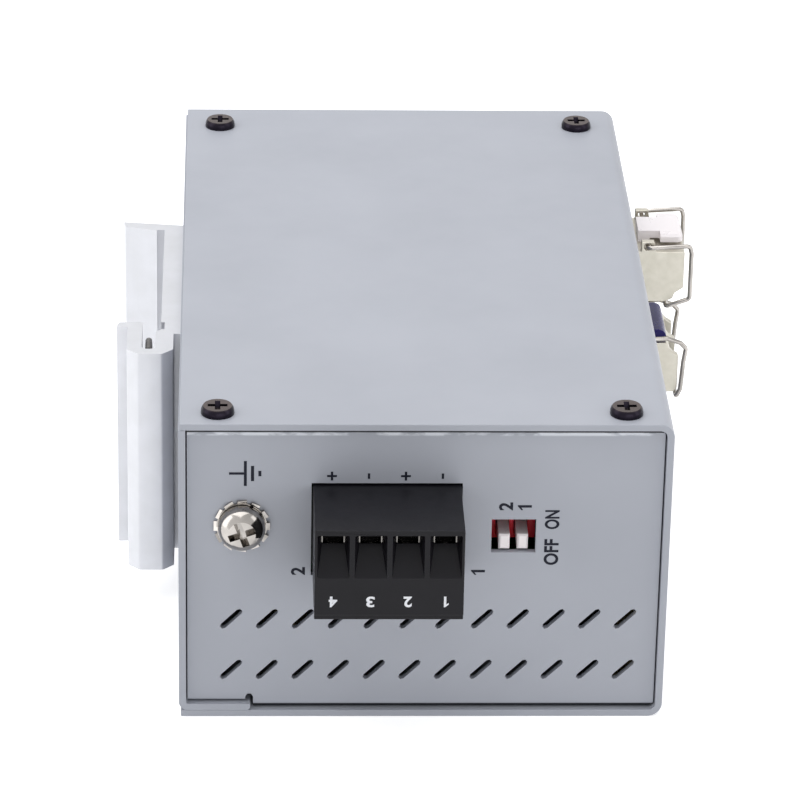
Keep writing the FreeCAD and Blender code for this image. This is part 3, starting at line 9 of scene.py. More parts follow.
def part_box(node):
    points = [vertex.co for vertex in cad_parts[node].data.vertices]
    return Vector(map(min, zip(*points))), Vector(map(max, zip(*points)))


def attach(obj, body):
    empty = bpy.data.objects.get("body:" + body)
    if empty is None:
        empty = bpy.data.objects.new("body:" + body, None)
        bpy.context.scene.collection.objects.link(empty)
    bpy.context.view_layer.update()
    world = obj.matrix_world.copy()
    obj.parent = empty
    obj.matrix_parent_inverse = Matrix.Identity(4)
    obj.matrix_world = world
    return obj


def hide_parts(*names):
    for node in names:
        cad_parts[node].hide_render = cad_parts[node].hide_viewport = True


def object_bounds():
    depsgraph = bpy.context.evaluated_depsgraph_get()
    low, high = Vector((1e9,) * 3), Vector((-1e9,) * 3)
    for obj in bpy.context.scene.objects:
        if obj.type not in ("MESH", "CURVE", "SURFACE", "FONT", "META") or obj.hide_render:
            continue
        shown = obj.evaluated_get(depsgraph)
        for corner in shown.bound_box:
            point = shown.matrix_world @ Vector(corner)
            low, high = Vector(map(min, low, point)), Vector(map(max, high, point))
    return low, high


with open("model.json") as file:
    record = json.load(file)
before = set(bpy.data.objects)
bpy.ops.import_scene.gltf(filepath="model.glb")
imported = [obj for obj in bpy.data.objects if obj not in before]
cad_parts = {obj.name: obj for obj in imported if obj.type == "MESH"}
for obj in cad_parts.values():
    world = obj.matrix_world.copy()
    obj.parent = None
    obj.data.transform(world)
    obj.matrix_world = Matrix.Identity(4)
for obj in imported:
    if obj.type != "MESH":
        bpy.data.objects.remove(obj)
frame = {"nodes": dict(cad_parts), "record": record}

# The scene is in metres. A size written in millimetres is scaled by MM.
MM = 0.001
cad_low, cad_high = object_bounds()
scene = bpy.context.scene
collection = scene.collection
body_of_node = {}
for body_name, members in frame["record"]["behaviour"]["bodies"].items():
    for member in members:
        body_of_node[member] = body_name
slot_of_node = {}
for entry in frame["record"]["subparts"]:
    slot_of_node[entry["node"]] = entry["material_slot"]


# ------------------------------------------------------------------ materials
def node_material(name):
    """A new material with its Principled shader ready to be wired."""
    material = bpy.data.materials.new(name)
    material.use_nodes = True
    return material, material.node_tree, material.node_tree.nodes["Principled BSDF"]


def add(tree, kind, **values):
    node = tree.nodes.new(kind)
    for key, value in values.items():
        setattr(node, key, value)
    return node


def object_position(tree, stretch=(1.0, 1.0, 1.0)):
    """Object coordinates, stretched along the axes."""
    place = add(tree, "ShaderNodeTexCoord")
    mapping = add(tree, "ShaderNodeMapping")
    mapping.inputs["Scale"].default_value = stretch
    tree.links.new(place.outputs["Object"], mapping.inputs["Vector"])
    return mapping.outputs["Vector"]


def noise(tree, vector, per_metre, detail=3.0, roughness=0.55):
    node = add(tree, "ShaderNodeTexNoise")
    node.inputs["Scale"].default_value = per_metre
    node.inputs["Detail"].default_value = detail
    node.inputs["Roughness"].default_value = roughness
    tree.links.new(vector, node.inputs["Vector"])
    return node.outputs["Fac"]


def spread(tree, value, low, high, start=0.3, stop=0.7):
    """Maps a 0-1 pattern to a range of numbers."""
    node = add(tree, "ShaderNodeMapRange")
    node.inputs["From Min"].default_value = start
    node.inputs["From Max"].default_value = stop
    node.inputs["To Min"].default_value = low
    node.inputs["To Max"].default_value = high
    tree.links.new(value, node.inputs["Value"])
    return node.outputs["Result"]


def blend_colours(tree, value, first, second, start=0.3, stop=0.7):
    ramp = add(tree, "ShaderNodeValToRGB")
    ramp.color_ramp.elements[0].position = start
    ramp.color_ramp.elements[1].position = stop
    ramp.color_ramp.elements[0].color = (*first, 1.0)
    ramp.color_ramp.elements[1].color = (*second, 1.0)
    tree.links.new(value, ramp.inputs["Fac"])
    return ramp.outputs["Color"]


def bump(tree, shader, value, strength, height):
    node = add(tree, "ShaderNodeBump")
    node.inputs["Strength"].default_value = strength
    node.inputs["Distance"].default_value = height
    tree.links.new(value, node.inputs["Height"])
    tree.links.new(node.outputs["Normal"], shader.inputs["Normal"])


def colour_between(tree, shader, pattern, first, second, start=0.3, stop=0.7):
    tree.links.new(blend_colours(tree, pattern, first, second, start, stop), shader.inputs["Base Color"])


def rough_between(tree, shader, pattern, low, high):
    tree.links.new(spread(tree, pattern, low, high), shader.inputs["Roughness"])


def facing_up(tree):
    """How far a surface faces up, from -1 to 1, in the object's own frame."""
    place = add(tree, "ShaderNodeTexCoord")
    sides = add(tree, "ShaderNodeSeparateXYZ")
    tree.links.new(place.outputs["Normal"], sides.inputs["Vector"])
    return sides.outputs["Z"]


def linear(red, green, blue):
    """An sRGB colour, 0 to 255, as linear light."""
    result = []
    for channel in (red, green, blue):
        c = channel / 255.0
        result.append(c / 12.92 if c <= 0.04045 else ((c + 0.055) / 1.055) ** 2.4)
    return tuple(result)


def multiplied(tree, first, second):
    node = add(tree, "ShaderNodeMath", operation="MULTIPLY")
    tree.links.new(first, node.inputs[0])
    tree.links.new(second, node.inputs[1])
    return node.outputs["Value"]


def overlaid(tree, amount, under, over):
    """A colour laid over another by an amount from 0 to 1."""
    node = add(tree, "ShaderNodeMix", data_type="RGBA")
    tree.links.new(amount, node.inputs["Factor"])
    tree.links.new(under, node.inputs["A"])
    node.inputs["B"].default_value = (*over, 1.0)
    return node.outputs["Result"]


def painted_sheet(name, fold=None):
    """Grey powder coat: fine orange peel, slight cloudiness, a satin sheen.

    A fold (low, high) gives the heights of a folded sheet inside a shell: its coat gets painted shade, dark
    bands where it meets the lid and the floor, and pale patches just below the lid that stand partly for
    scuffed wear and partly for a painted highlight on the fold."""
    material, tree, shader = node_material(name)
    place = object_position(tree)
    cloud = noise(tree, place, 45.0, 2.0)
    coat = blend_colours(tree, cloud, linear(170, 173, 182), linear(176, 179, 188))
    if fold is not None:
        low, high = fold
        sides = add(tree, "ShaderNodeSeparateXYZ")
        tree.links.new(place, sides.inputs["Vector"])
        level = sides.outputs["Z"]
        near_lid = spread(tree, level, 0.0, 1.0, high - 1.15 * MM, high - 0.90 * MM)
        # Pale patches just below the lid: partly scuffed wear, partly a painted highlight on the bend.
        patches = noise(tree, object_position(tree, (1.0, 2.0, 3.0)), 240.0, 4.0)
        scuffs_and_painted_highlight = spread(tree, patches, 0.0, 1.0, 0.44, 0.56)
        coat = overlaid(tree, multiplied(tree, near_lid, scuffs_and_painted_highlight), coat, linear(226, 229, 236))
        # Painted shade: a dark band on the top bend just under the lid, where the lid's edge shades it.
        lid_painted_shade = spread(tree, level, 0.0, 1.0, high - 0.66 * MM, high - 0.54 * MM)
        coat = overlaid(tree, lid_painted_shade, coat, linear(16, 18, 27))
        # Painted shade: a dark band along the bottom bend, where the sheet meets the shell's floor.
        floor_painted_shade = spread(tree, level, 1.0, 0.0, low + 0.60 * MM, low + 0.78 * MM)
        coat = overlaid(tree, floor_painted_shade, coat, linear(12, 14, 22))
    tree.links.new(coat, shader.inputs["Base Color"])
    peel = noise(tree, place, 1700.0, 2.0)
    rough_between(tree, shader, noise(tree, place, 260.0), 0.38, 0.48)
    bump(tree, shader, peel, 0.10, 0.00006)
    shader.inputs["Specular IOR Level"].default_value = 0.42
    return material


def plastic(name, first, second, rough, grain=1500.0, strength=0.12, mirror=0.5):
    """Moulded plastic: fine spark-eroded grain and slight mottling."""
    material, tree, shader = node_material(name)
    place = object_position(tree)
    colour_between(tree, shader, noise(tree, place, 130.0), first, second)
    rough_between(tree, shader, noise(tree, place, 420.0), rough - 0.05, rough + 0.07)
    bump(tree, shader, noise(tree, place, grain, 2.0), strength, 0.00005)
    shader.inputs["Specular IOR Level"].default_value = mirror
    return material


def metal(name, first, second, rough, stretch=(1.0, 1.0, 1.0), streaks=900.0, strength=0.08, blur=0.06):
    """Metal with drawn or cast streaks along the axis with the smallest stretch."""
    material, tree, shader = node_material(name)
    place = object_position(tree, stretch)
    colour_between(tree, shader, noise(tree, place, streaks * 0.4), first, second)
    rough_between(tree, shader, noise(tree, place, streaks), rough - blur, rough + blur)
    shader.inputs["Metallic"].default_value = 1.0
    bump(tree, shader, noise(tree, place, streaks * 1.7, 2.0), strength, 0.00003)
    return material


def anodised():
    """Pale anodised extrusion: drawn lines along its length, smooth sawn ends."""
    material, tree, shader = node_material("clear_aluminium")
    steep = add(tree, "ShaderNodeMath", operation="ABSOLUTE")
    tree.links.new(facing_up(tree), steep.inputs[0])
    drawn = spread(tree, steep.outputs["Value"], 1.0, 0.0, 0.3, 0.8)
    lines = multiplied(tree, drawn, noise(tree, object_position(tree, (1.0, 1.0, 0.02)), 2600.0, 2.0))
    film = noise(tree, object_position(tree), 260.0)
    colour_between(tree, shader, film, linear(212, 213, 217), linear(218, 219, 224))
    rough_between(tree, shader, lines, 0.30, 0.40)
    shader.inputs["Metallic"].default_value = 0.55
    shader.inputs["Specular IOR Level"].default_value = 0.6
    bump(tree, shader, lines, 0.06, 0.00003)
    return material


def circuit_board():
    """Solder mask over copper: darker mask with slightly raised tracks."""
    material, tree, shader = node_material("green_board")
    place = object_position(tree)
    cells = add(tree, "ShaderNodeTexBrick")
    cells.inputs["Scale"].default_value = 260.0
    cells.inputs["Mortar Size"].default_value = 0.06
    cells.inputs["Color1"].default_value = (*linear(20, 78, 48), 1.0)
    cells.inputs["Color2"].default_value = (*linear(24, 86, 54), 1.0)
    cells.inputs["Mortar"].default_value = (*linear(48, 120, 78), 1.0)
    tree.links.new(place, cells.inputs["Vector"])
    tree.links.new(cells.outputs["Color"], shader.inputs["Base Color"])
    rough_between(tree, shader, noise(tree, place, 300.0), 0.28, 0.40)
    bump(tree, shader, cells.outputs["Fac"], 0.2, 0.00003)
    return material


def blackened_steel():
    """Blackened screws: blue black on the sides; on the upward flats a patchy brown, partly wear and partly a
    painted highlight of the light from above.
    """
    material, tree, shader = node_material("black_steel")
    place = object_position(tree)
    # Faces that point up are painted lighter brown: a painted highlight, made patchy like wear by the noise.
    flat = spread(tree, facing_up(tree), 0.0, 1.0, 0.55, 0.95)
    worn = spread(tree, noise(tree, place, 1300.0, 4.0), 0.75, 1.0)
    wear_and_top_highlight = multiplied(tree, flat, worn)
    colour_between(tree, shader, wear_and_top_highlight, linear(30, 25, 36), linear(92, 82, 80), 0.0, 1.0)
    rough_between(tree, shader, noise(tree, place, 900.0), 0.24, 0.36)
    shader.inputs["Metallic"].default_value = 0.85
    bump(tree, shader, noise(tree, place, 2200.0, 2.0), 0.08, 0.00002)
    return material


def socket_block(name, face, depth):
    """A port row: plated shield on its face and outside, black liner inside the ports."""
    material, tree, shader = node_material(name)
    place = add(tree, "ShaderNodeTexCoord")
    parts = add(tree, "ShaderNodeSeparateXYZ")
    tree.links.new(place.outputs["Object"], parts.inputs["Vector"])
    inside = add(tree, "ShaderNodeMath", operation="LESS_THAN")
    inside.inputs[1].default_value = face - depth
    tree.links.new(parts.outputs["X"], inside.inputs[0])
    liner = inside.outputs["Value"]
    colour_between(tree, shader, liner, linear(196, 196, 198), linear(26, 26, 28), 0.4, 0.6)
    metallic = add(tree, "ShaderNodeMath", operation="SUBTRACT")
    metallic.inputs[0].default_value = 1.0
    tree.links.new(liner, metallic.inputs[1])
    tree.links.new(metallic.outputs["Value"], shader.inputs["Metallic"])
    streaks = noise(tree, object_position(tree, (1.0, 0.15, 1.0)), 1400.0, 2.0)
    rough_between(tree, shader, streaks, 0.26, 0.42)
    bump(tree, shader, streaks, 0.06, 0.00003)
    return material


jack_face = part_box("upper_jack_row")[1].x
materials = {
    "grey_paint": painted_sheet("grey_paint"),
    "black_steel": blackened_steel(),
    "bright_steel": metal(
        "bright_steel", linear(150, 146, 142), linear(196, 191, 186), 0.13, streaks=500.0, strength=0.03),
    "black_plastic": plastic(
        "black_plastic", linear(14, 13, 18), linear(20, 19, 24), 0.34,
        grain=2600.0, strength=0.04, mirror=0.20),
    "tinned_brass": metal("tinned_brass", linear(190, 176, 140), linear(214, 202, 168), 0.26),
    "red_plastic": plastic("red_plastic", linear(250, 58, 74), linear(255, 68, 84), 0.30),
    "white_plastic": plastic("white_plastic", linear(250, 243, 244), linear(253, 247, 248), 0.30),
    "green_board": circuit_board(),
    "plated_sheet": metal(
        "plated_sheet", linear(198, 195, 188), linear(214, 211, 204), 0.30, stretch=(1.0, 0.1, 0.1)),
    "nickel_casting": metal(
        "nickel_casting", linear(196, 192, 180), linear(206, 202, 191), 0.40, streaks=1500.0, strength=0.16),
    "purple_plastic": plastic("purple_plastic", linear(26, 20, 92), linear(38, 31, 110), 0.26, mirror=0.25),
    "jack_metal": socket_block("jack_metal", jack_face, 0.5 * MM),
    "clear_plastic": plastic(
        "clear_plastic", linear(206, 222, 200), linear(218, 232, 212), 0.20, strength=0.04),
    "clear_aluminium": anodised(),
}


def printing_ink(name, first, second):
    """Screen-printed ink: slightly uneven, with little shine."""
    material, tree, shader = node_material(name)
    place = object_position(tree)
    colour_between(tree, shader, noise(tree, place, 900.0), first, second)
    rough_between(tree, shader, noise(tree, place, 2600.0), 0.32, 0.5)
    bump(tree, shader, noise(tree, place, 3800.0), 0.08, 0.00002)
    shader.inputs["Specular IOR Level"].default_value = 0.15
    return material


dark_ink = printing_ink("dark_ink", linear(24, 26, 38), linear(32, 34, 46))
pale_ink = printing_ink("pale_ink", linear(226, 228, 234), linear(240, 241, 245))


# ------------------------------------------------------------------ mesh helpers
def new_piece(name, mesh, body, material):
    obj = bpy.data.objects.new(name, mesh)
    collection.objects.link(obj)
    if material is not None:
        mesh.materials.clear()
        mesh.materials.append(material)
    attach(obj, body)
    return obj


def bake_modifiers(obj):
    """Replaces an object's mesh with its modified result."""
    graph = bpy.context.evaluated_depsgraph_get()
    result = bpy.data.meshes.new_from_object(obj.evaluated_get(graph))
    obj.modifiers.clear()
    obj.data = result
    return obj


def round_long_corners(work, width):
    """Turns the long blunt corners of an extrusion into true rounds."""
    flat = math.radians(0.2)
    bmesh.ops.dissolve_limit(work, angle_limit=flat, verts=work.verts, edges=work.edges)
    corners = []
    for side in work.edges:
        along = side.verts[1].co - side.verts[0].co
        upright = abs(along.z) > 0.98 * along.length and along.length > 20 * MM
        if upright and math.radians(30) < side.calc_face_angle(0.0) < math.radians(60):
            corners.append(side)
    bmesh.ops.bevel(work, geom=corners, offset=width, offset_type="OFFSET", segments=4,
                    profile=0.5, affect="EDGES", clamp_overlap=True)


def finished_copy(node, edge, angle=32.0, material=None, rounding=0.0):
    """The CAD piece with merged faces, softly broken edges and smooth rounds."""
    source = frame["nodes"][node]
    mesh = source.data.copy()
    work = bmesh.new()
    work.from_mesh(mesh)
    bmesh.ops.remove_doubles(work, verts=work.verts, dist=2e-6)
    if rounding > 0.0:
        round_long_corners(work, rounding * MM)
    for face in work.faces:
        face.smooth = True
    for side in work.edges:
        if len(side.link_faces) == 2 and side.calc_face_angle(0.0) > math.radians(angle):
            side.smooth = False
    work.to_mesh(mesh)
    work.free()
    if "custom_normal" in mesh.attributes:
        mesh.attributes.remove(mesh.attributes["custom_normal"])
    slot = slot_of_node[node]
    piece = new_piece(node + "_finished", mesh, body_of_node[node], material or materials[slot])
    if edge > 0.0:
        soft = piece.modifiers.new("broken_edges", "BEVEL")
        soft.width = edge * MM
        soft.segments = 2
        soft.limit_method = "ANGLE"
        soft.angle_limit = math.radians(angle)
        soft.use_clamp_overlap = True
        soft.harden_normals = True
        soft.miter_outer = "MITER_ARC"
        bake_modifiers(piece)
    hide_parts(node)
    return piece


def smooth_by_angle(mesh, angle=32.0):
    """Smooth shading, with the corners sharper than an angle kept crisp."""
    work = bmesh.new()
    work.from_mesh(mesh)
    bmesh.ops.remove_doubles(work, verts=work.verts, dist=1e-6)
    bmesh.ops.recalc_face_normals(work, faces=work.faces)
    for face in work.faces:
        face.smooth = True
    for side in work.edges:
        side.smooth = not (len(side.link_faces) == 2 and side.calc_face_angle(0.0) > math.radians(angle))
    work.to_mesh(mesh)
    work.free()
    return mesh


# ------------------------------------------------------------------ geometry node trees
class Tree:
    """A geometry node tree with named inputs, built step by step."""

    def __init__(self, name, inputs):
        self.tree = bpy.data.node_groups.new(name, "GeometryNodeTree")
        self.sockets = {}
        interface = self.tree.interface
        interface.new_socket(name="Geometry", in_out="OUTPUT", socket_type="NodeSocketGeometry")
        interface.new_socket(name="Geometry", in_out="INPUT", socket_type="NodeSocketGeometry")
        for label, kind, default in inputs:
            socket = interface.new_socket(name=label, in_out="INPUT", socket_type="NodeSocket" + kind)
            if default is not None:
                socket.default_value = default
            self.sockets[label] = socket
        self.inputs = self.tree.nodes.new("NodeGroupInput").outputs
        self.result = self.tree.nodes.new("NodeGroupOutput")

    def step(self, kind, links=(), **values):
        """A node with its attributes set and its inputs linked or filled in."""
        node = self.tree.nodes.new(kind)
        for key, value in values.items():
            setattr(node, key, value)
        for key, value in dict(links).items():
            if isinstance(value, bpy.types.NodeSocket):
                self.tree.links.new(value, node.inputs[key])
            else:
                node.inputs[key].default_value = value
        return node

    def maths(self, operation, first, second=0.0, clamp=False):
        node = self.step("ShaderNodeMath", {0: first, 1: second}, operation=operation, use_clamp=clamp)
        return node.outputs[0]

    def times(self, first, second):
        return self.maths("MULTIPLY", first, second)

    def minus(self, first, second):
        return self.maths("SUBTRACT", first, second)

    def vector(self, x=0.0, y=0.0, z=0.0):
        return self.step("ShaderNodeCombineXYZ", {"X": x, "Y": y, "Z": z}).outputs[0]

    def parts_of_position(self):
        place = self.step("GeometryNodeInputPosition").outputs[0]
        return self.step("ShaderNodeSeparateXYZ", {0: place}).outputs

    def shifted(self, geometry, offset):
        return self.step("GeometryNodeTransform", {"Geometry": geometry, "Translation": offset}).outputs[0]

    def reshaped(self, geometry, position):
        return self.step("GeometryNodeSetPosition", {"Geometry": geometry, "Position": position}).outputs[0]

    def cut(self, whole, tool):
        node = self.step("GeometryNodeMeshBoolean", operation="DIFFERENCE", solver="EXACT")
        self.tree.links.new(whole, node.inputs["Mesh 1"])
        self.tree.links.new(tool, node.inputs["Mesh 2"])
        return node.outputs["Mesh"]

    def bent_path(self, corner_steps, limited):
        """The host's line as a curve with rounded corners."""
        path = self.step("GeometryNodeMeshToCurve", {0: self.inputs["Geometry"]}).outputs[0]
        return self.step("GeometryNodeFilletCurve", {
            "Curve": path, "Radius": self.inputs["Bend Radius"], "Count": corner_steps,
            "Limit Radius": limited}, mode="POLY").outputs[0]

    def joined(self, *geometries):
        node = self.step("GeometryNodeJoinGeometry")
        for geometry in geometries:
            self.tree.links.new(geometry, node.inputs[0])
        return node.outputs[0]

    def finish(self, geometry):
        """Real geometry with the finish from the Finish input."""
        real = self.step("GeometryNodeRealizeInstances", {0: geometry}).outputs[0]
        coated = self.step("GeometryNodeSetMaterial", {"Geometry": real, "Material": self.inputs["Finish"]})
        self.tree.links.new(coated.outputs[0], self.result.inputs[0])
        return self


def grown(name, tree, host, values, body, material, replaced=None, angle=32.0):
    """Runs a tree on a host mesh and keeps the result as a plain piece."""
    holder = bpy.data.objects.new(name + "_host", host)
    collection.objects.link(holder)
    growth = holder.modifiers.new("growth", "NODES")
    growth.node_group = tree.tree
    for label, value in values.items():
        growth[tree.sockets[label].identifier] = value
    growth[tree.sockets["Finish"].identifier] = material
    graph = bpy.context.evaluated_depsgraph_get()
    graph.update()
    mesh = bpy.data.meshes.new_from_object(holder.evaluated_get(graph))
    holder.modifiers.clear()
    bpy.data.objects.remove(holder)
    mesh.name = name
    piece = new_piece(name, smooth_by_angle(mesh, angle), body, None)
    if replaced:
        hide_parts(replaced)
    return piece


def points_mesh(name, points):
    mesh = bpy.data.meshes.new(name)
    mesh.from_pydata([tuple(p) for p in points], [], [])
    return mesh


def line_mesh(name, points):
    mesh = bpy.data.meshes.new(name)
    mesh.from_pydata([tuple(p) for p in points], [(i, i + 1) for i in range(len(points) - 1)], [])
    return mesh


def screw_tree():
    """Cross recess screws: a head whose side follows a curve, a shank, one per host point."""
    t = Tree("cross_recess_screw", [
        ("Head Radius", "Float", 0.0023), ("Head Height", "Float", 0.0011), ("Top Share", "Float", 0.86),
        ("Roundness", "Float", 4.0), ("Seat Share", "Float", 1.0), ("Shank Radius", "Float", 0.0012),
        ("Shank Length", "Float", 0.005), ("Recess Span", "Float", 0.0022), ("Recess Width", "Float", 0.0006),
        ("Recess Depth", "Float", 0.0007), ("Facing", "Rotation", None), ("Finish", "Material", None)])
    tall = t.inputs["Head Height"]
    head = t.step("GeometryNodeMeshCylinder", {
        "Vertices": 56, "Side Segments": 12, "Radius": t.inputs["Head Radius"],
        "Depth": tall}).outputs["Mesh"]
    head = t.shifted(head, t.vector(z=t.times(tall, 0.5)))
    x, y, z = t.parts_of_position()
    share = t.maths("DIVIDE", z, tall, True)
    curve = t.maths("POWER", share, t.inputs["Roundness"])
    drawn_in = t.times(curve, t.minus(1.0, t.inputs["Top Share"]))
    seat = t.times(t.minus(1.0, share), t.minus(1.0, t.inputs["Seat Share"]))
    width = t.minus(t.minus(1.0, drawn_in), seat)
    head = t.reshaped(head, t.vector(t.times(x, width), t.times(y, width), z))
    # Each bar of the recess narrows evenly towards its floor.
    face_share, taper = 0.88, 0.24
    span, slim, deep = t.inputs["Recess Span"], t.inputs["Recess Width"], t.inputs["Recess Depth"]
    both_ways = t.times(deep, 2.0)
    for size in (t.vector(span, slim, both_ways), t.vector(slim, span, both_ways)):
        bar = t.step("GeometryNodeMeshCube", {"Size": size}).outputs["Mesh"]
        bx, by, bz = t.parts_of_position()
        downward = t.maths("DIVIDE", bz, t.times(deep, -1.0))
        narrowed = t.minus(face_share, t.times(downward, taper))
        bar = t.reshaped(bar, t.vector(t.times(bx, narrowed), t.times(by, narrowed), bz))
        head = t.cut(head, t.shifted(bar, t.vector(z=tall)))
    length = t.inputs["Shank Length"]
    shank = t.step("GeometryNodeMeshCylinder", {
        "Vertices": 32, "Radius": t.inputs["Shank Radius"], "Depth": length}).outputs["Mesh"]
    shank = t.shifted(shank, t.vector(z=t.times(length, -0.5)))
    placed = t.step("GeometryNodeInstanceOnPoints", {
        "Points": t.inputs["Geometry"], "Instance": t.joined(head, shank),
        "Rotation": t.inputs["Facing"]}).outputs[0]
    return t.finish(placed)


def wire_tree():
    """Round wire along the host's line, with bent corners."""
    t = Tree("bent_wire", [
        ("Wire Radius", "Float", 0.00035), ("Bend Radius", "Float", 0.0006), ("Bend Steps", "Int", 7),
        ("Wire Sides", "Int", 18), ("Finish", "Material", None)])
    ring = t.step("GeometryNodeCurvePrimitiveCircle", {
        "Resolution": t.inputs["Wire Sides"], "Radius": t.inputs["Wire Radius"]}).outputs[0]
    tube = t.step("GeometryNodeCurveToMesh", {
        "Curve": t.bent_path(t.inputs["Bend Steps"], True), "Profile Curve": ring,
        "Fill Caps": True}).outputs[0]
    return t.finish(tube)


def toothed_ring_tree():
    """A shakeproof washer: a flat ring and twisted teeth round its rim."""
    t = Tree("toothed_ring", [
        ("Ring Radius", "Float", 0.0033), ("Hole Radius", "Float", 0.0021), ("Thickness", "Float", 0.0005),
        ("Tooth Count", "Int", 12), ("Tooth Length", "Float", 0.0007), ("Tooth Width", "Float", 0.001),
        ("Twist", "Float", 0.4), ("Facing", "Rotation", None), ("Finish", "Material", None)])
    thick = t.inputs["Thickness"]
    disc = t.step("GeometryNodeMeshCylinder", {
        "Vertices": 64, "Radius": t.inputs["Ring Radius"], "Depth": thick}).outputs["Mesh"]
    hole = t.step("GeometryNodeMeshCylinder", {
        "Vertices": 48, "Radius": t.inputs["Hole Radius"], "Depth": t.times(thick, 3.0)}).outputs["Mesh"]
    reach = t.maths("ADD", t.inputs["Ring Radius"], t.times(t.inputs["Tooth Length"], 0.2))
    round_rim = t.step("GeometryNodeMeshCircle", {
        "Vertices": t.inputs["Tooth Count"], "Radius": reach}).outputs[0]
    tooth = t.step("GeometryNodeMeshCube", {"Size": t.vector(
        t.inputs["Tooth Length"], t.inputs["Tooth Width"], t.times(thick, 0.8))}).outputs["Mesh"]
    outward = t.step("FunctionNodeAlignRotationToVector", {
        "Vector": t.step("GeometryNodeInputPosition").outputs[0]}, axis="X").outputs[0]
    twist = t.step("FunctionNodeEulerToRotation", {0: t.vector(x=t.inputs["Twist"])}).outputs[0]
    turned = t.step("FunctionNodeRotateRotation", {0: outward, 1: twist}, rotation_space="LOCAL").outputs[0]
    teeth = t.step("GeometryNodeInstanceOnPoints", {
        "Points": round_rim, "Instance": tooth, "Rotation": turned}).outputs[0]
    whole = t.shifted(t.joined(t.cut(disc, hole), teeth), t.vector(z=t.times(thick, 0.5)))
    placed = t.step("GeometryNodeInstanceOnPoints", {
        "Points": t.inputs["Geometry"], "Instance": whole, "Rotation": t.inputs["Facing"]}).outputs[0]
    return t.finish(placed)


def contact_tree():
    """Spring contacts: the host's line bent into flat wire, repeated in groups along Y."""
    t = Tree("spring_contacts", [
        ("Wire Width", "Float", 0.00042), ("Wire Thickness", "Float", 0.0003),
        ("Bend Radius", "Float", 0.0005), ("Contact Count", "Int", 8), ("Contact Pitch", "Float", 0.00102),
        ("Group Count", "Int", 4), ("Group Pitch", "Float", 0.014), ("Finish", "Material", None)])
    corner_steps = 4
    profile = t.step("GeometryNodeCurvePrimitiveQuadrilateral", {
        "Width": t.inputs["Wire Width"], "Height": t.inputs["Wire Thickness"]}).outputs[0]
    wire = t.step("GeometryNodeCurveToMesh", {
        "Curve": t.bent_path(corner_steps, False), "Profile Curve": profile, "Fill Caps": True}).outputs[0]
    row = t.step("GeometryNodeMeshLine", {
        "Count": t.inputs["Contact Count"], "Offset": t.vector(y=t.inputs["Contact Pitch"])}).outputs[0]
    row = t.step("GeometryNodeInstanceOnPoints", {"Points": row, "Instance": wire}).outputs[0]
    groups = t.step("GeometryNodeMeshLine", {
        "Count": t.inputs["Group Count"], "Offset": t.vector(y=t.inputs["Group Pitch"])}).outputs[0]
    placed = t.step("GeometryNodeInstanceOnPoints", {"Points": groups, "Instance": row}).outputs[0]
    return t.finish(placed)


screws = screw_tree()
wires = wire_tree()
washers = toothed_ring_tree()
contacts = contact_tree()

# ------------------------------------------------------------------ the finished CAD pieces
fold_low, fold_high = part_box("inner_chassis")
# The chassis paint: painted shade at its lid and floor seams, and a pale band below the lid that is part
# wear, part painted highlight.
fold_paint_with_shade = painted_sheet("folded_paint_with_shade", (fold_low.z, fold_high.z))
special_finish = {
    "inner_chassis": fold_paint_with_shade,
    "plug_cages": metal("nickel_plate", linear(112, 109, 106), linear(140, 137, 133), 0.30),
}
edge_break = {
    "outer_shell": 0.12, "rear_panel": 0.12, "inner_chassis": 0.08, "terminal_plug": 0.10,
    "dip_cover": 0.05, "dip_lever_1": 0.08, "dip_lever_2": 0.08, "upper_module_nose": 0.14,
    "lower_module_nose": 0.14, "upper_latch_tab": 0.12, "lower_latch_tab": 0.12, "rail_clip": 0.12,
    "upper_jack_row": 0.08, "lower_jack_row": 0.08, "plug_screws": 0.04, "plug_cages": 0.04,
}
corner_round = {"rail_clip": 0.7}
for node, edge in edge_break.items():
    finished_copy(node, edge, material=special_finish.get(node), rounding=corner_round.get(node, 0.0))


# ------------------------------------------------------------------ screws, washer, wires
def middle(low, high):
    return (low + high) / 2


lid_low, lid_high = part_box("cover_screws")
lid_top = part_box("outer_shell")[1].z
head_radius = 2.3 * MM
lid_spots = []
for x in (lid_low.x + head_radius, lid_high.x - head_radius):
    for y in (lid_low.y + head_radius, lid_high.y - head_radius):
        lid_spots.append((x, y, lid_top))
grown("lid_screws", screws, points_mesh("lid_screw_spots", lid_spots), {
    "Head Radius": head_radius, "Head Height": lid_high.z - lid_top, "Top Share": 0.86, "Roundness": 3.2,
    "Shank Radius": 1.15 * MM, "Shank Length": lid_top - lid_low.z, "Recess Span": 3.1 * MM,
    "Recess Width": 0.85 * MM, "Recess Depth": 0.85 * MM,
}, "switch_body", materials["black_steel"], "cover_screws")

ground_low, ground_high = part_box("ground_screw")
washer_low, washer_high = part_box("ground_washer")
ground_middle = middle(ground_low, ground_high)
ground_radius = (ground_high.x - ground_low.x) / 2
ground_spot = (ground_middle.x, washer_low.y, ground_middle.z)
quarter_turn = math.radians(90)
grown("ground_screw_dome", screws, points_mesh("ground_spot", [ground_spot]), {
    "Head Radius": ground_radius, "Head Height": washer_low.y - ground_low.y,
    "Top Share": 0.58, "Roundness": 2.6,
    "Shank Radius": 1.9 * MM, "Shank Length": ground_high.y - washer_low.y, "Recess Span": 4.3 * MM,
    "Recess Width": 1.15 * MM, "Recess Depth": 1.5 * MM, "Facing": (quarter_turn, math.radians(-20), 0.0),
}, "switch_body", materials["bright_steel"], "ground_screw", 25.0)
washer_radius = (washer_high.x - washer_low.x) / 2
washer_thick = washer_high.y - washer_low.y
tooth_swing = 0.06 * MM
washer_spot = (ground_middle.x, washer_high.y - tooth_swing, ground_middle.z)
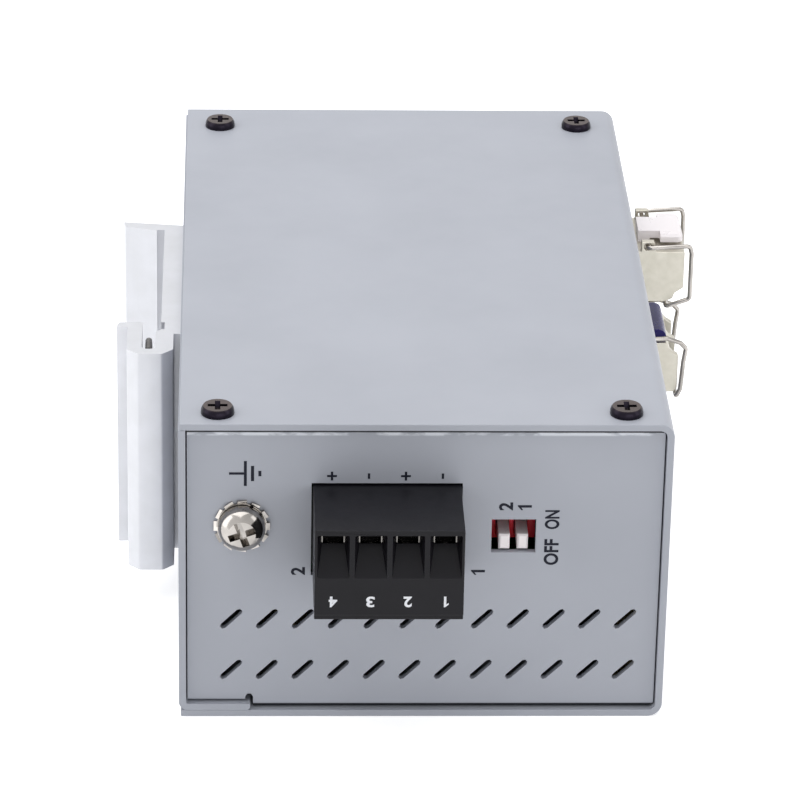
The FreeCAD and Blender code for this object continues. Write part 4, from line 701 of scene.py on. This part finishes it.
grown("shakeproof_washer", washers, points_mesh("washer_spot", [washer_spot]), {
    "Ring Radius": washer_radius - 0.38 * MM, "Hole Radius": 2.05 * MM, "Thickness": washer_thick - 0.25 * MM,
    "Tooth Count": 12, "Tooth Length": 0.56 * MM, "Tooth Width": 1.35 * MM, "Twist": math.radians(17),
    "Facing": (quarter_turn, 0.0, 0.0),
}, "switch_body", materials["bright_steel"], "ground_washer")

sunk_low, sunk_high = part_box("clip_screws")
sunk_radius = 2.8 * MM
sunk_head = 1.3 * MM
sunk_spots = []
for y in (sunk_low.y + sunk_radius, sunk_high.y - sunk_radius):
    sunk_spots.append((sunk_low.x + sunk_head, y, middle(sunk_low.z, sunk_high.z)))
grown("countersunk_screws", screws, points_mesh("clip_screw_spots", sunk_spots), {
    "Head Radius": sunk_radius, "Head Height": sunk_head, "Top Share": 1.0, "Roundness": 6.0,
    "Seat Share": 0.54, "Shank Radius": 1.45 * MM, "Shank Length": sunk_high.x - sunk_low.x - sunk_head,
    "Recess Span": 3.0 * MM, "Recess Width": 0.7 * MM, "Recess Depth": 0.9 * MM,
    "Facing": (0.0, -quarter_turn, 0.0),
}, "switch_body", materials["bright_steel"], "clip_screws")

# Bails: the same side view twice, joined across the nose; steps from the pivot
wire_radius = 0.35 * MM
joint_place = {}
for joint in frame["record"]["behaviour"]["joints"]:
    if "pos_m" in joint:
        joint_place[joint["child"]] = Vector(joint["pos_m"])


def bail_line(node, side_steps, ear_reach):
    """The whole wire: in one ear, down one side, across, up the other, into its ear."""
    low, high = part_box(node)
    pivot = joint_place[node]
    near_y, far_y = low.y + wire_radius, high.y - wire_radius
    line = [Vector((pivot.x, near_y + ear_reach, pivot.z))]
    for y, steps in ((near_y, side_steps), (far_y, list(reversed(side_steps)))):
        for along, rise in steps:
            line.append(Vector((pivot.x + along * MM, y, pivot.z + rise * MM)))
    line.append(Vector((pivot.x, far_y - ear_reach, pivot.z)))
    return line


bail_shapes = {
    "upper_bail": [(0.0, 0.0), (6.45, 0.4), (6.75, -0.8), (6.75, -8.5), (3.15, -9.8)],
    "lower_bail": [
        (0.0, 0.0), (3.6, 0.2), (5.7, -0.55), (6.6, -1.5), (6.28, -3.9), (5.98, -8.5), (5.4, -9.8)],
}
for node, steps in bail_shapes.items():
    grown(node + "_wire", wires, line_mesh(node + "_line", bail_line(node, steps, 1.4 * MM)), {
        "Wire Radius": wire_radius, "Bend Radius": 0.62 * MM, "Bend Steps": 7, "Wire Sides": 18,
    }, node, materials["bright_steel"], node, 60.0)

spring_low, spring_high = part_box("clip_spring")
spring_radius = 0.5 * MM
spring_x = middle(spring_low.x, spring_high.x)
spring_bend = spring_high.y - spring_radius
spring_top = spring_high.z - spring_radius
spring_foot = spring_low.z + spring_radius
spring_line = [
    (spring_x, spring_low.y, spring_top), (spring_x, spring_bend, spring_top),
    (spring_x, spring_bend, spring_foot), (spring_x, spring_low.y, spring_foot)]
spring_steel = metal("spring_steel", linear(84, 82, 82), linear(112, 109, 107), 0.30, streaks=700.0)
grown("spring_wire", wires, line_mesh("spring_line", spring_line), {
    "Wire Radius": spring_radius, "Bend Radius": 1.1 * MM, "Bend Steps": 8, "Wire Sides": 20,
}, "switch_body", spring_steel, "clip_spring", 60.0)

# Port contacts: flat spring wires that lean down towards the plug
for row in ("upper", "lower"):
    low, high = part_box(row + "_jack_contacts")
    reach = high.x - low.x
    first = low.y + 0.2 * MM
    top = high.z
    profile = [
        (low.x, first, top - 0.15 * MM), (low.x + reach * 0.22, first, top - 0.15 * MM),
        (low.x + reach * 0.80, first, top - 2.2 * MM), (high.x, first, top - 1.2 * MM)]
    grown(row + "_spring_contacts", contacts, line_mesh(row + "_contact_line", profile), {
        "Contact Count": 8, "Contact Pitch": 1.02 * MM, "Group Count": 4, "Group Pitch": 14.0 * MM,
        "Bend Radius": 0.5 * MM,
    }, "switch_body", materials["tinned_brass"], row + "_jack_contacts")

for node, obj in frame["nodes"].items():
    if not obj.hide_render:
        obj.data.materials.clear()
        obj.data.materials.append(materials[slot_of_node[node]])


# ------------------------------------------------------------------ printing
print_proud = 0.012 * MM
ink_spread = 0.030
print_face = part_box("inner_chassis")[0].y - print_proud
RISING = ((0, 0, 1), (-1, 0, 0))      # words that read upwards
TURNED = ((-1, 0, 0), (0, 0, -1))     # words upside down


def on_panel(x, z):
    """A place on the end panel, from its distances in millimetres along X and Z."""
    return (x * MM, print_face, z * MM)


def lettering(name, words, height, length, centre, along, up, body, material, slot):
    """Flat printed words, as a mesh of a given height and length, centred on a point."""
    curve = bpy.data.curves.new(name, "FONT")
    curve.body = words
    curve.size = 1.0
    curve.align_x = "CENTER"
    curve.align_y = "CENTER"
    curve.offset = ink_spread
    curve.resolution_u = 6
    holder = bpy.data.objects.new(name + "_text", curve)
    collection.objects.link(holder)
    graph = bpy.context.evaluated_depsgraph_get()
    graph.update()
    mesh = bpy.data.meshes.new_from_object(holder.evaluated_get(graph))
    bpy.data.objects.remove(holder)
    ys = [v.co.y for v in mesh.vertices]
    xs = [v.co.x for v in mesh.vertices]
    mesh.transform(Matrix.Translation((-(min(xs) + max(xs)) / 2, -(min(ys) + max(ys)) / 2, 0.0)))
    factor = height * MM / (max(ys) - min(ys))
    mesh.transform(Matrix.Scale(length * MM / (max(xs) - min(xs)) / factor, 4, (1, 0, 0)))
    along, up = Vector(along), Vector(up)
    turn = Matrix((along, up, along.cross(up))).transposed().to_4x4()
    mesh.transform(Matrix.Translation(Vector(centre)) @ turn @ Matrix.Scale(factor, 4))
    return new_piece(name, mesh, body, material)


def flat_bars(name, bars, place, body, material):
    """Flat printed bars given as (low u, high u, low v, high v)."""
    work = bmesh.new()
    for u0, u1, v0, v1 in bars:
        corners = [work.verts.new(place(u, v)) for u, v in ((u0, v0), (u1, v0), (u1, v1), (u0, v1))]
        work.faces.new(corners)
    mesh = bpy.data.meshes.new(name)
    work.to_mesh(mesh)
    work.free()
    return new_piece(name, mesh, body, material)


def flat_shape(name, corners, place, body, material):
    """One flat printed outline given by its (u, v) corners."""
    mesh = bpy.data.meshes.new(name)
    mesh.from_pydata([place(u, v) for u, v in corners], [], [tuple(range(len(corners)))])
    return new_piece(name, mesh, body, material)


def digit_one(name, height, centre, along, up, body, material, slot):
    """The digit 1: a stem with a short slanted flag."""
    stem, flag = height * 0.10, height * 0.30
    corners = [(stem, -height / 2), (stem, height / 2), (0.0, height / 2), (-flag, height * 0.24),
               (-flag, height * 0.10), (-stem, height * 0.24), (-stem, -height / 2)]
    corners.reverse()

    def place(u, v):
        return tuple(Vector(centre) + Vector(along) * u * MM + Vector(up) * v * MM)

    return flat_shape(name, corners, place, body, material)


def panel_words(name, words, height, length, x, z):
    centre = on_panel(x, z)
    if words == "1":
        return digit_one(name, height, centre, *RISING, "switch_body", dark_ink, "grey_paint")
    return lettering(name, words, height, length, centre, *RISING, "switch_body", dark_ink, "grey_paint")


def mm_box(node):
    """A node's box in millimetres."""
    low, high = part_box(node)
    return low / MM, high / MM


# Earth sign over its screw: a stem and three bars that get shorter
screw_low, screw_high = mm_box("ground_screw")
screw_x = middle(screw_low.x, screw_high.x)
stem_z = middle(screw_low.z, screw_high.z) + 7.92
stem_half = 0.19
earth_bars = [(screw_x - 1.78, screw_x + 0.28, stem_z - stem_half, stem_z + stem_half)]
for start, stop, half in ((0.26, 0.67, 1.92), (1.23, 1.67, 1.17), (2.25, 2.67, 0.42)):
    earth_bars.append((screw_x + start, screw_x + stop, stem_z - half, stem_z + half))
flat_bars("earth_sign", earth_bars, on_panel, "switch_body", dark_ink)

# Pole signs over the plug, one to a pole, plus and minus by turns
plug_low, plug_high = mm_box("terminal_plug")
pole_count = 4
pole_pitch = (plug_high.x - plug_low.x) / pole_count
pole_x = [plug_low.x + (pole + 0.5) * pole_pitch for pole in range(pole_count)]
sign_z = plug_high.z + 1.35
stroke, plus_reach, minus_reach = 0.16, 0.68, 0.42
for pole, x in enumerate(pole_x):
    if pole % 2 == 0:
        bars = [(x - stroke, x + stroke, sign_z - plus_reach, sign_z + plus_reach),
                (x - plus_reach, x - stroke, sign_z - stroke, sign_z + stroke),
                (x + stroke, x + plus_reach, sign_z - stroke, sign_z + stroke)]
    else:
        bars = [(x - stroke, x + stroke, sign_z - minus_reach, sign_z + minus_reach)]
    flat_bars("pole_sign_%d" % (pole + 1), bars, on_panel, "switch_body", dark_ink)

# Supply digits beside the plug, lever digits over the levers, words beside the switch
digit_height, word_height = 1.95, 2.05
two_long, one_long, on_long, off_long = 1.25, 1.0, 2.95, 4.05
supply_z = plug_low.z + 0.40
panel_words("supply_digit_2", "2", digit_height, two_long, plug_low.x - 2.02, supply_z)
panel_words("supply_digit_1", "1", digit_height, one_long, plug_high.x + 2.66, supply_z)
lever_boxes = [mm_box("dip_lever_1"), mm_box("dip_lever_2")]
lever_x = [middle(low.x, high.x) for low, high in lever_boxes]
lever_z = lever_boxes[0][1].z + 4.60
panel_words("lever_digit_1", "1", digit_height, one_long, lever_x[0] + 0.15, lever_z)
panel_words("lever_digit_2", "2", digit_height, two_long, lever_x[1] + 0.10, lever_z)
cover_low, cover_high = mm_box("dip_cover")
cover_z = middle(cover_low.z, cover_high.z)
panel_words("on_word", "ON", word_height, on_long, cover_high.x + 1.97, cover_z + 1.675)
panel_words("off_word", "OFF", word_height, off_long, cover_high.x + 1.99, cover_z - 3.375)

# Plug digits, upside down under the funnels
plug_face = plug_low.y * MM - print_proud
digit_z = plug_low.z + 3.0
plug_digit_height, plug_digit_long = 1.65, 1.15
for pole, x in enumerate(pole_x):
    digit = pole_count - pole
    name = "plug_digit_%d" % digit
    centre = (x * MM, plug_face, digit_z * MM)
    if digit == 1:
        digit_one(name, plug_digit_height, centre, *TURNED, "plug", pale_ink, "black_plastic")
    else:
        lettering(name, str(digit), plug_digit_height, plug_digit_long, centre, *TURNED,
                  "plug", pale_ink, "black_plastic")


# ------------------------------------------------------------------ stage, lamps, camera
def seen_directly(tree):
    """One for what the camera sees straight, in a reflection or through glass."""
    path = add(tree, "ShaderNodeLightPath")
    glossy = add(tree, "ShaderNodeMath", operation="MAXIMUM")
    tree.links.new(path.outputs["Is Camera Ray"], glossy.inputs[0])
    tree.links.new(path.outputs["Is Glossy Ray"], glossy.inputs[1])
    either = add(tree, "ShaderNodeMath", operation="MAXIMUM")
    tree.links.new(glossy.outputs["Value"], either.inputs[0])
    tree.links.new(path.outputs["Is Transmission Ray"], either.inputs[1])
    return either.outputs["Value"]


def make_floor():
    reach = 3.0
    corners = [(-reach, -reach, 0), (reach, -reach, 0), (reach, reach, 0), (-reach, reach, 0)]
    mesh = bpy.data.meshes.new("floor")
    mesh.from_pydata(corners, [], [(0, 1, 2, 3)])
    floor = bpy.data.objects.new("floor", mesh)
    collection.objects.link(floor)
    floor.location.z = cad_low.z - 0.02 * MM
    material, tree, shader = node_material("pale_floor")
    shader.inputs["Base Color"].default_value = (0.90, 0.90, 0.90, 1.0)
    shader.inputs["Roughness"].default_value = 0.9
    shader.inputs["Specular IOR Level"].default_value = 0.1
    shader.inputs["Emission Color"].default_value = (1.0, 1.0, 1.0, 1.0)
    lift = add(tree, "ShaderNodeMath", operation="MULTIPLY")
    lift.inputs[1].default_value = 0.55
    tree.links.new(seen_directly(tree), lift.inputs[0])
    tree.links.new(lift.outputs["Value"], shader.inputs["Emission Strength"])
    mesh.materials.append(material)


def make_world():
    world = bpy.data.worlds.new("studio")
    scene.world = world
    world.use_nodes = True
    tree = world.node_tree
    surface = tree.nodes["Background"]
    shown = add(tree, "ShaderNodeBackground")
    shown.inputs["Color"].default_value = (1.0, 1.0, 1.0, 1.0)
    shown.inputs["Strength"].default_value = 1.0
    surface.inputs["Color"].default_value = (0.96, 0.98, 1.0, 1.0)
    surface.inputs["Strength"].default_value = 0.42
    mix = add(tree, "ShaderNodeMixShader")
    tree.links.new(seen_directly(tree), mix.inputs["Fac"])
    tree.links.new(surface.outputs["Background"], mix.inputs[1])
    tree.links.new(shown.outputs["Background"], mix.inputs[2])
    tree.links.new(mix.outputs["Shader"], tree.nodes["World Output"].inputs["Surface"])


def area_lamp(name, place, target, width, height, power):
    """A rectangular lamp that faces a target; sizes in metres, power in watts."""
    lamp = bpy.data.lights.new(name, "AREA")
    lamp.shape = "RECTANGLE"
    lamp.size = width
    lamp.size_y = height
    lamp.energy = power
    holder = bpy.data.objects.new(name, lamp)
    collection.objects.link(holder)
    holder.location = place
    holder.rotation_mode = "QUATERNION"
    holder.rotation_quaternion = (Vector(target) - Vector(place)).to_track_quat("-Z", "Y")


def make_camera():
    """Long lens, a little left of centre, looking down at the power end."""
    yaw, pitch, roll = math.radians(2.3466), math.radians(25.7339), math.radians(1.1292)
    ahead = Vector((math.sin(yaw) * math.cos(pitch), math.cos(yaw) * math.cos(pitch), -math.sin(pitch)))
    right = Vector((math.cos(yaw), -math.sin(yaw), 0.0))
    up = right.cross(ahead)
    side = math.cos(roll) * right + math.sin(roll) * up
    top = -math.sin(roll) * right + math.cos(roll) * up
    camera = bpy.data.cameras.new("camera")
    camera.sensor_width = 36.0
    camera.lens = 203.92
    holder = bpy.data.objects.new("camera", camera)
    collection.objects.link(holder)
    turn = Matrix((side, top, -ahead)).transposed().to_4x4()
    place = (-26.532 * MM, -611.988 * MM, 317.171 * MM)
    holder.matrix_world = Matrix.Translation(place) @ turn
    camera.clip_start = 0.05
    camera.clip_end = 20.0
    scene.camera = holder


make_floor()
make_world()
heart = (0, 0, 0.02)
area_lamp("overhead", (-0.10, 0.10, 0.75), heart, width=0.9, height=0.9, power=4.3)
area_lamp("front_fill", (0.25, -0.85, 0.20), heart, width=0.7, height=0.36, power=1.3)
area_lamp("left_strip", (-0.75, -0.10, 0.30), heart, width=0.5, height=0.8, power=2.0)
area_lamp("right_strip", (0.60, -0.20, 0.22), (0.03, 0.02, 0.02), width=0.25, height=0.8, power=0.9)
make_camera()
scene.view_settings.view_transform = "Standard"
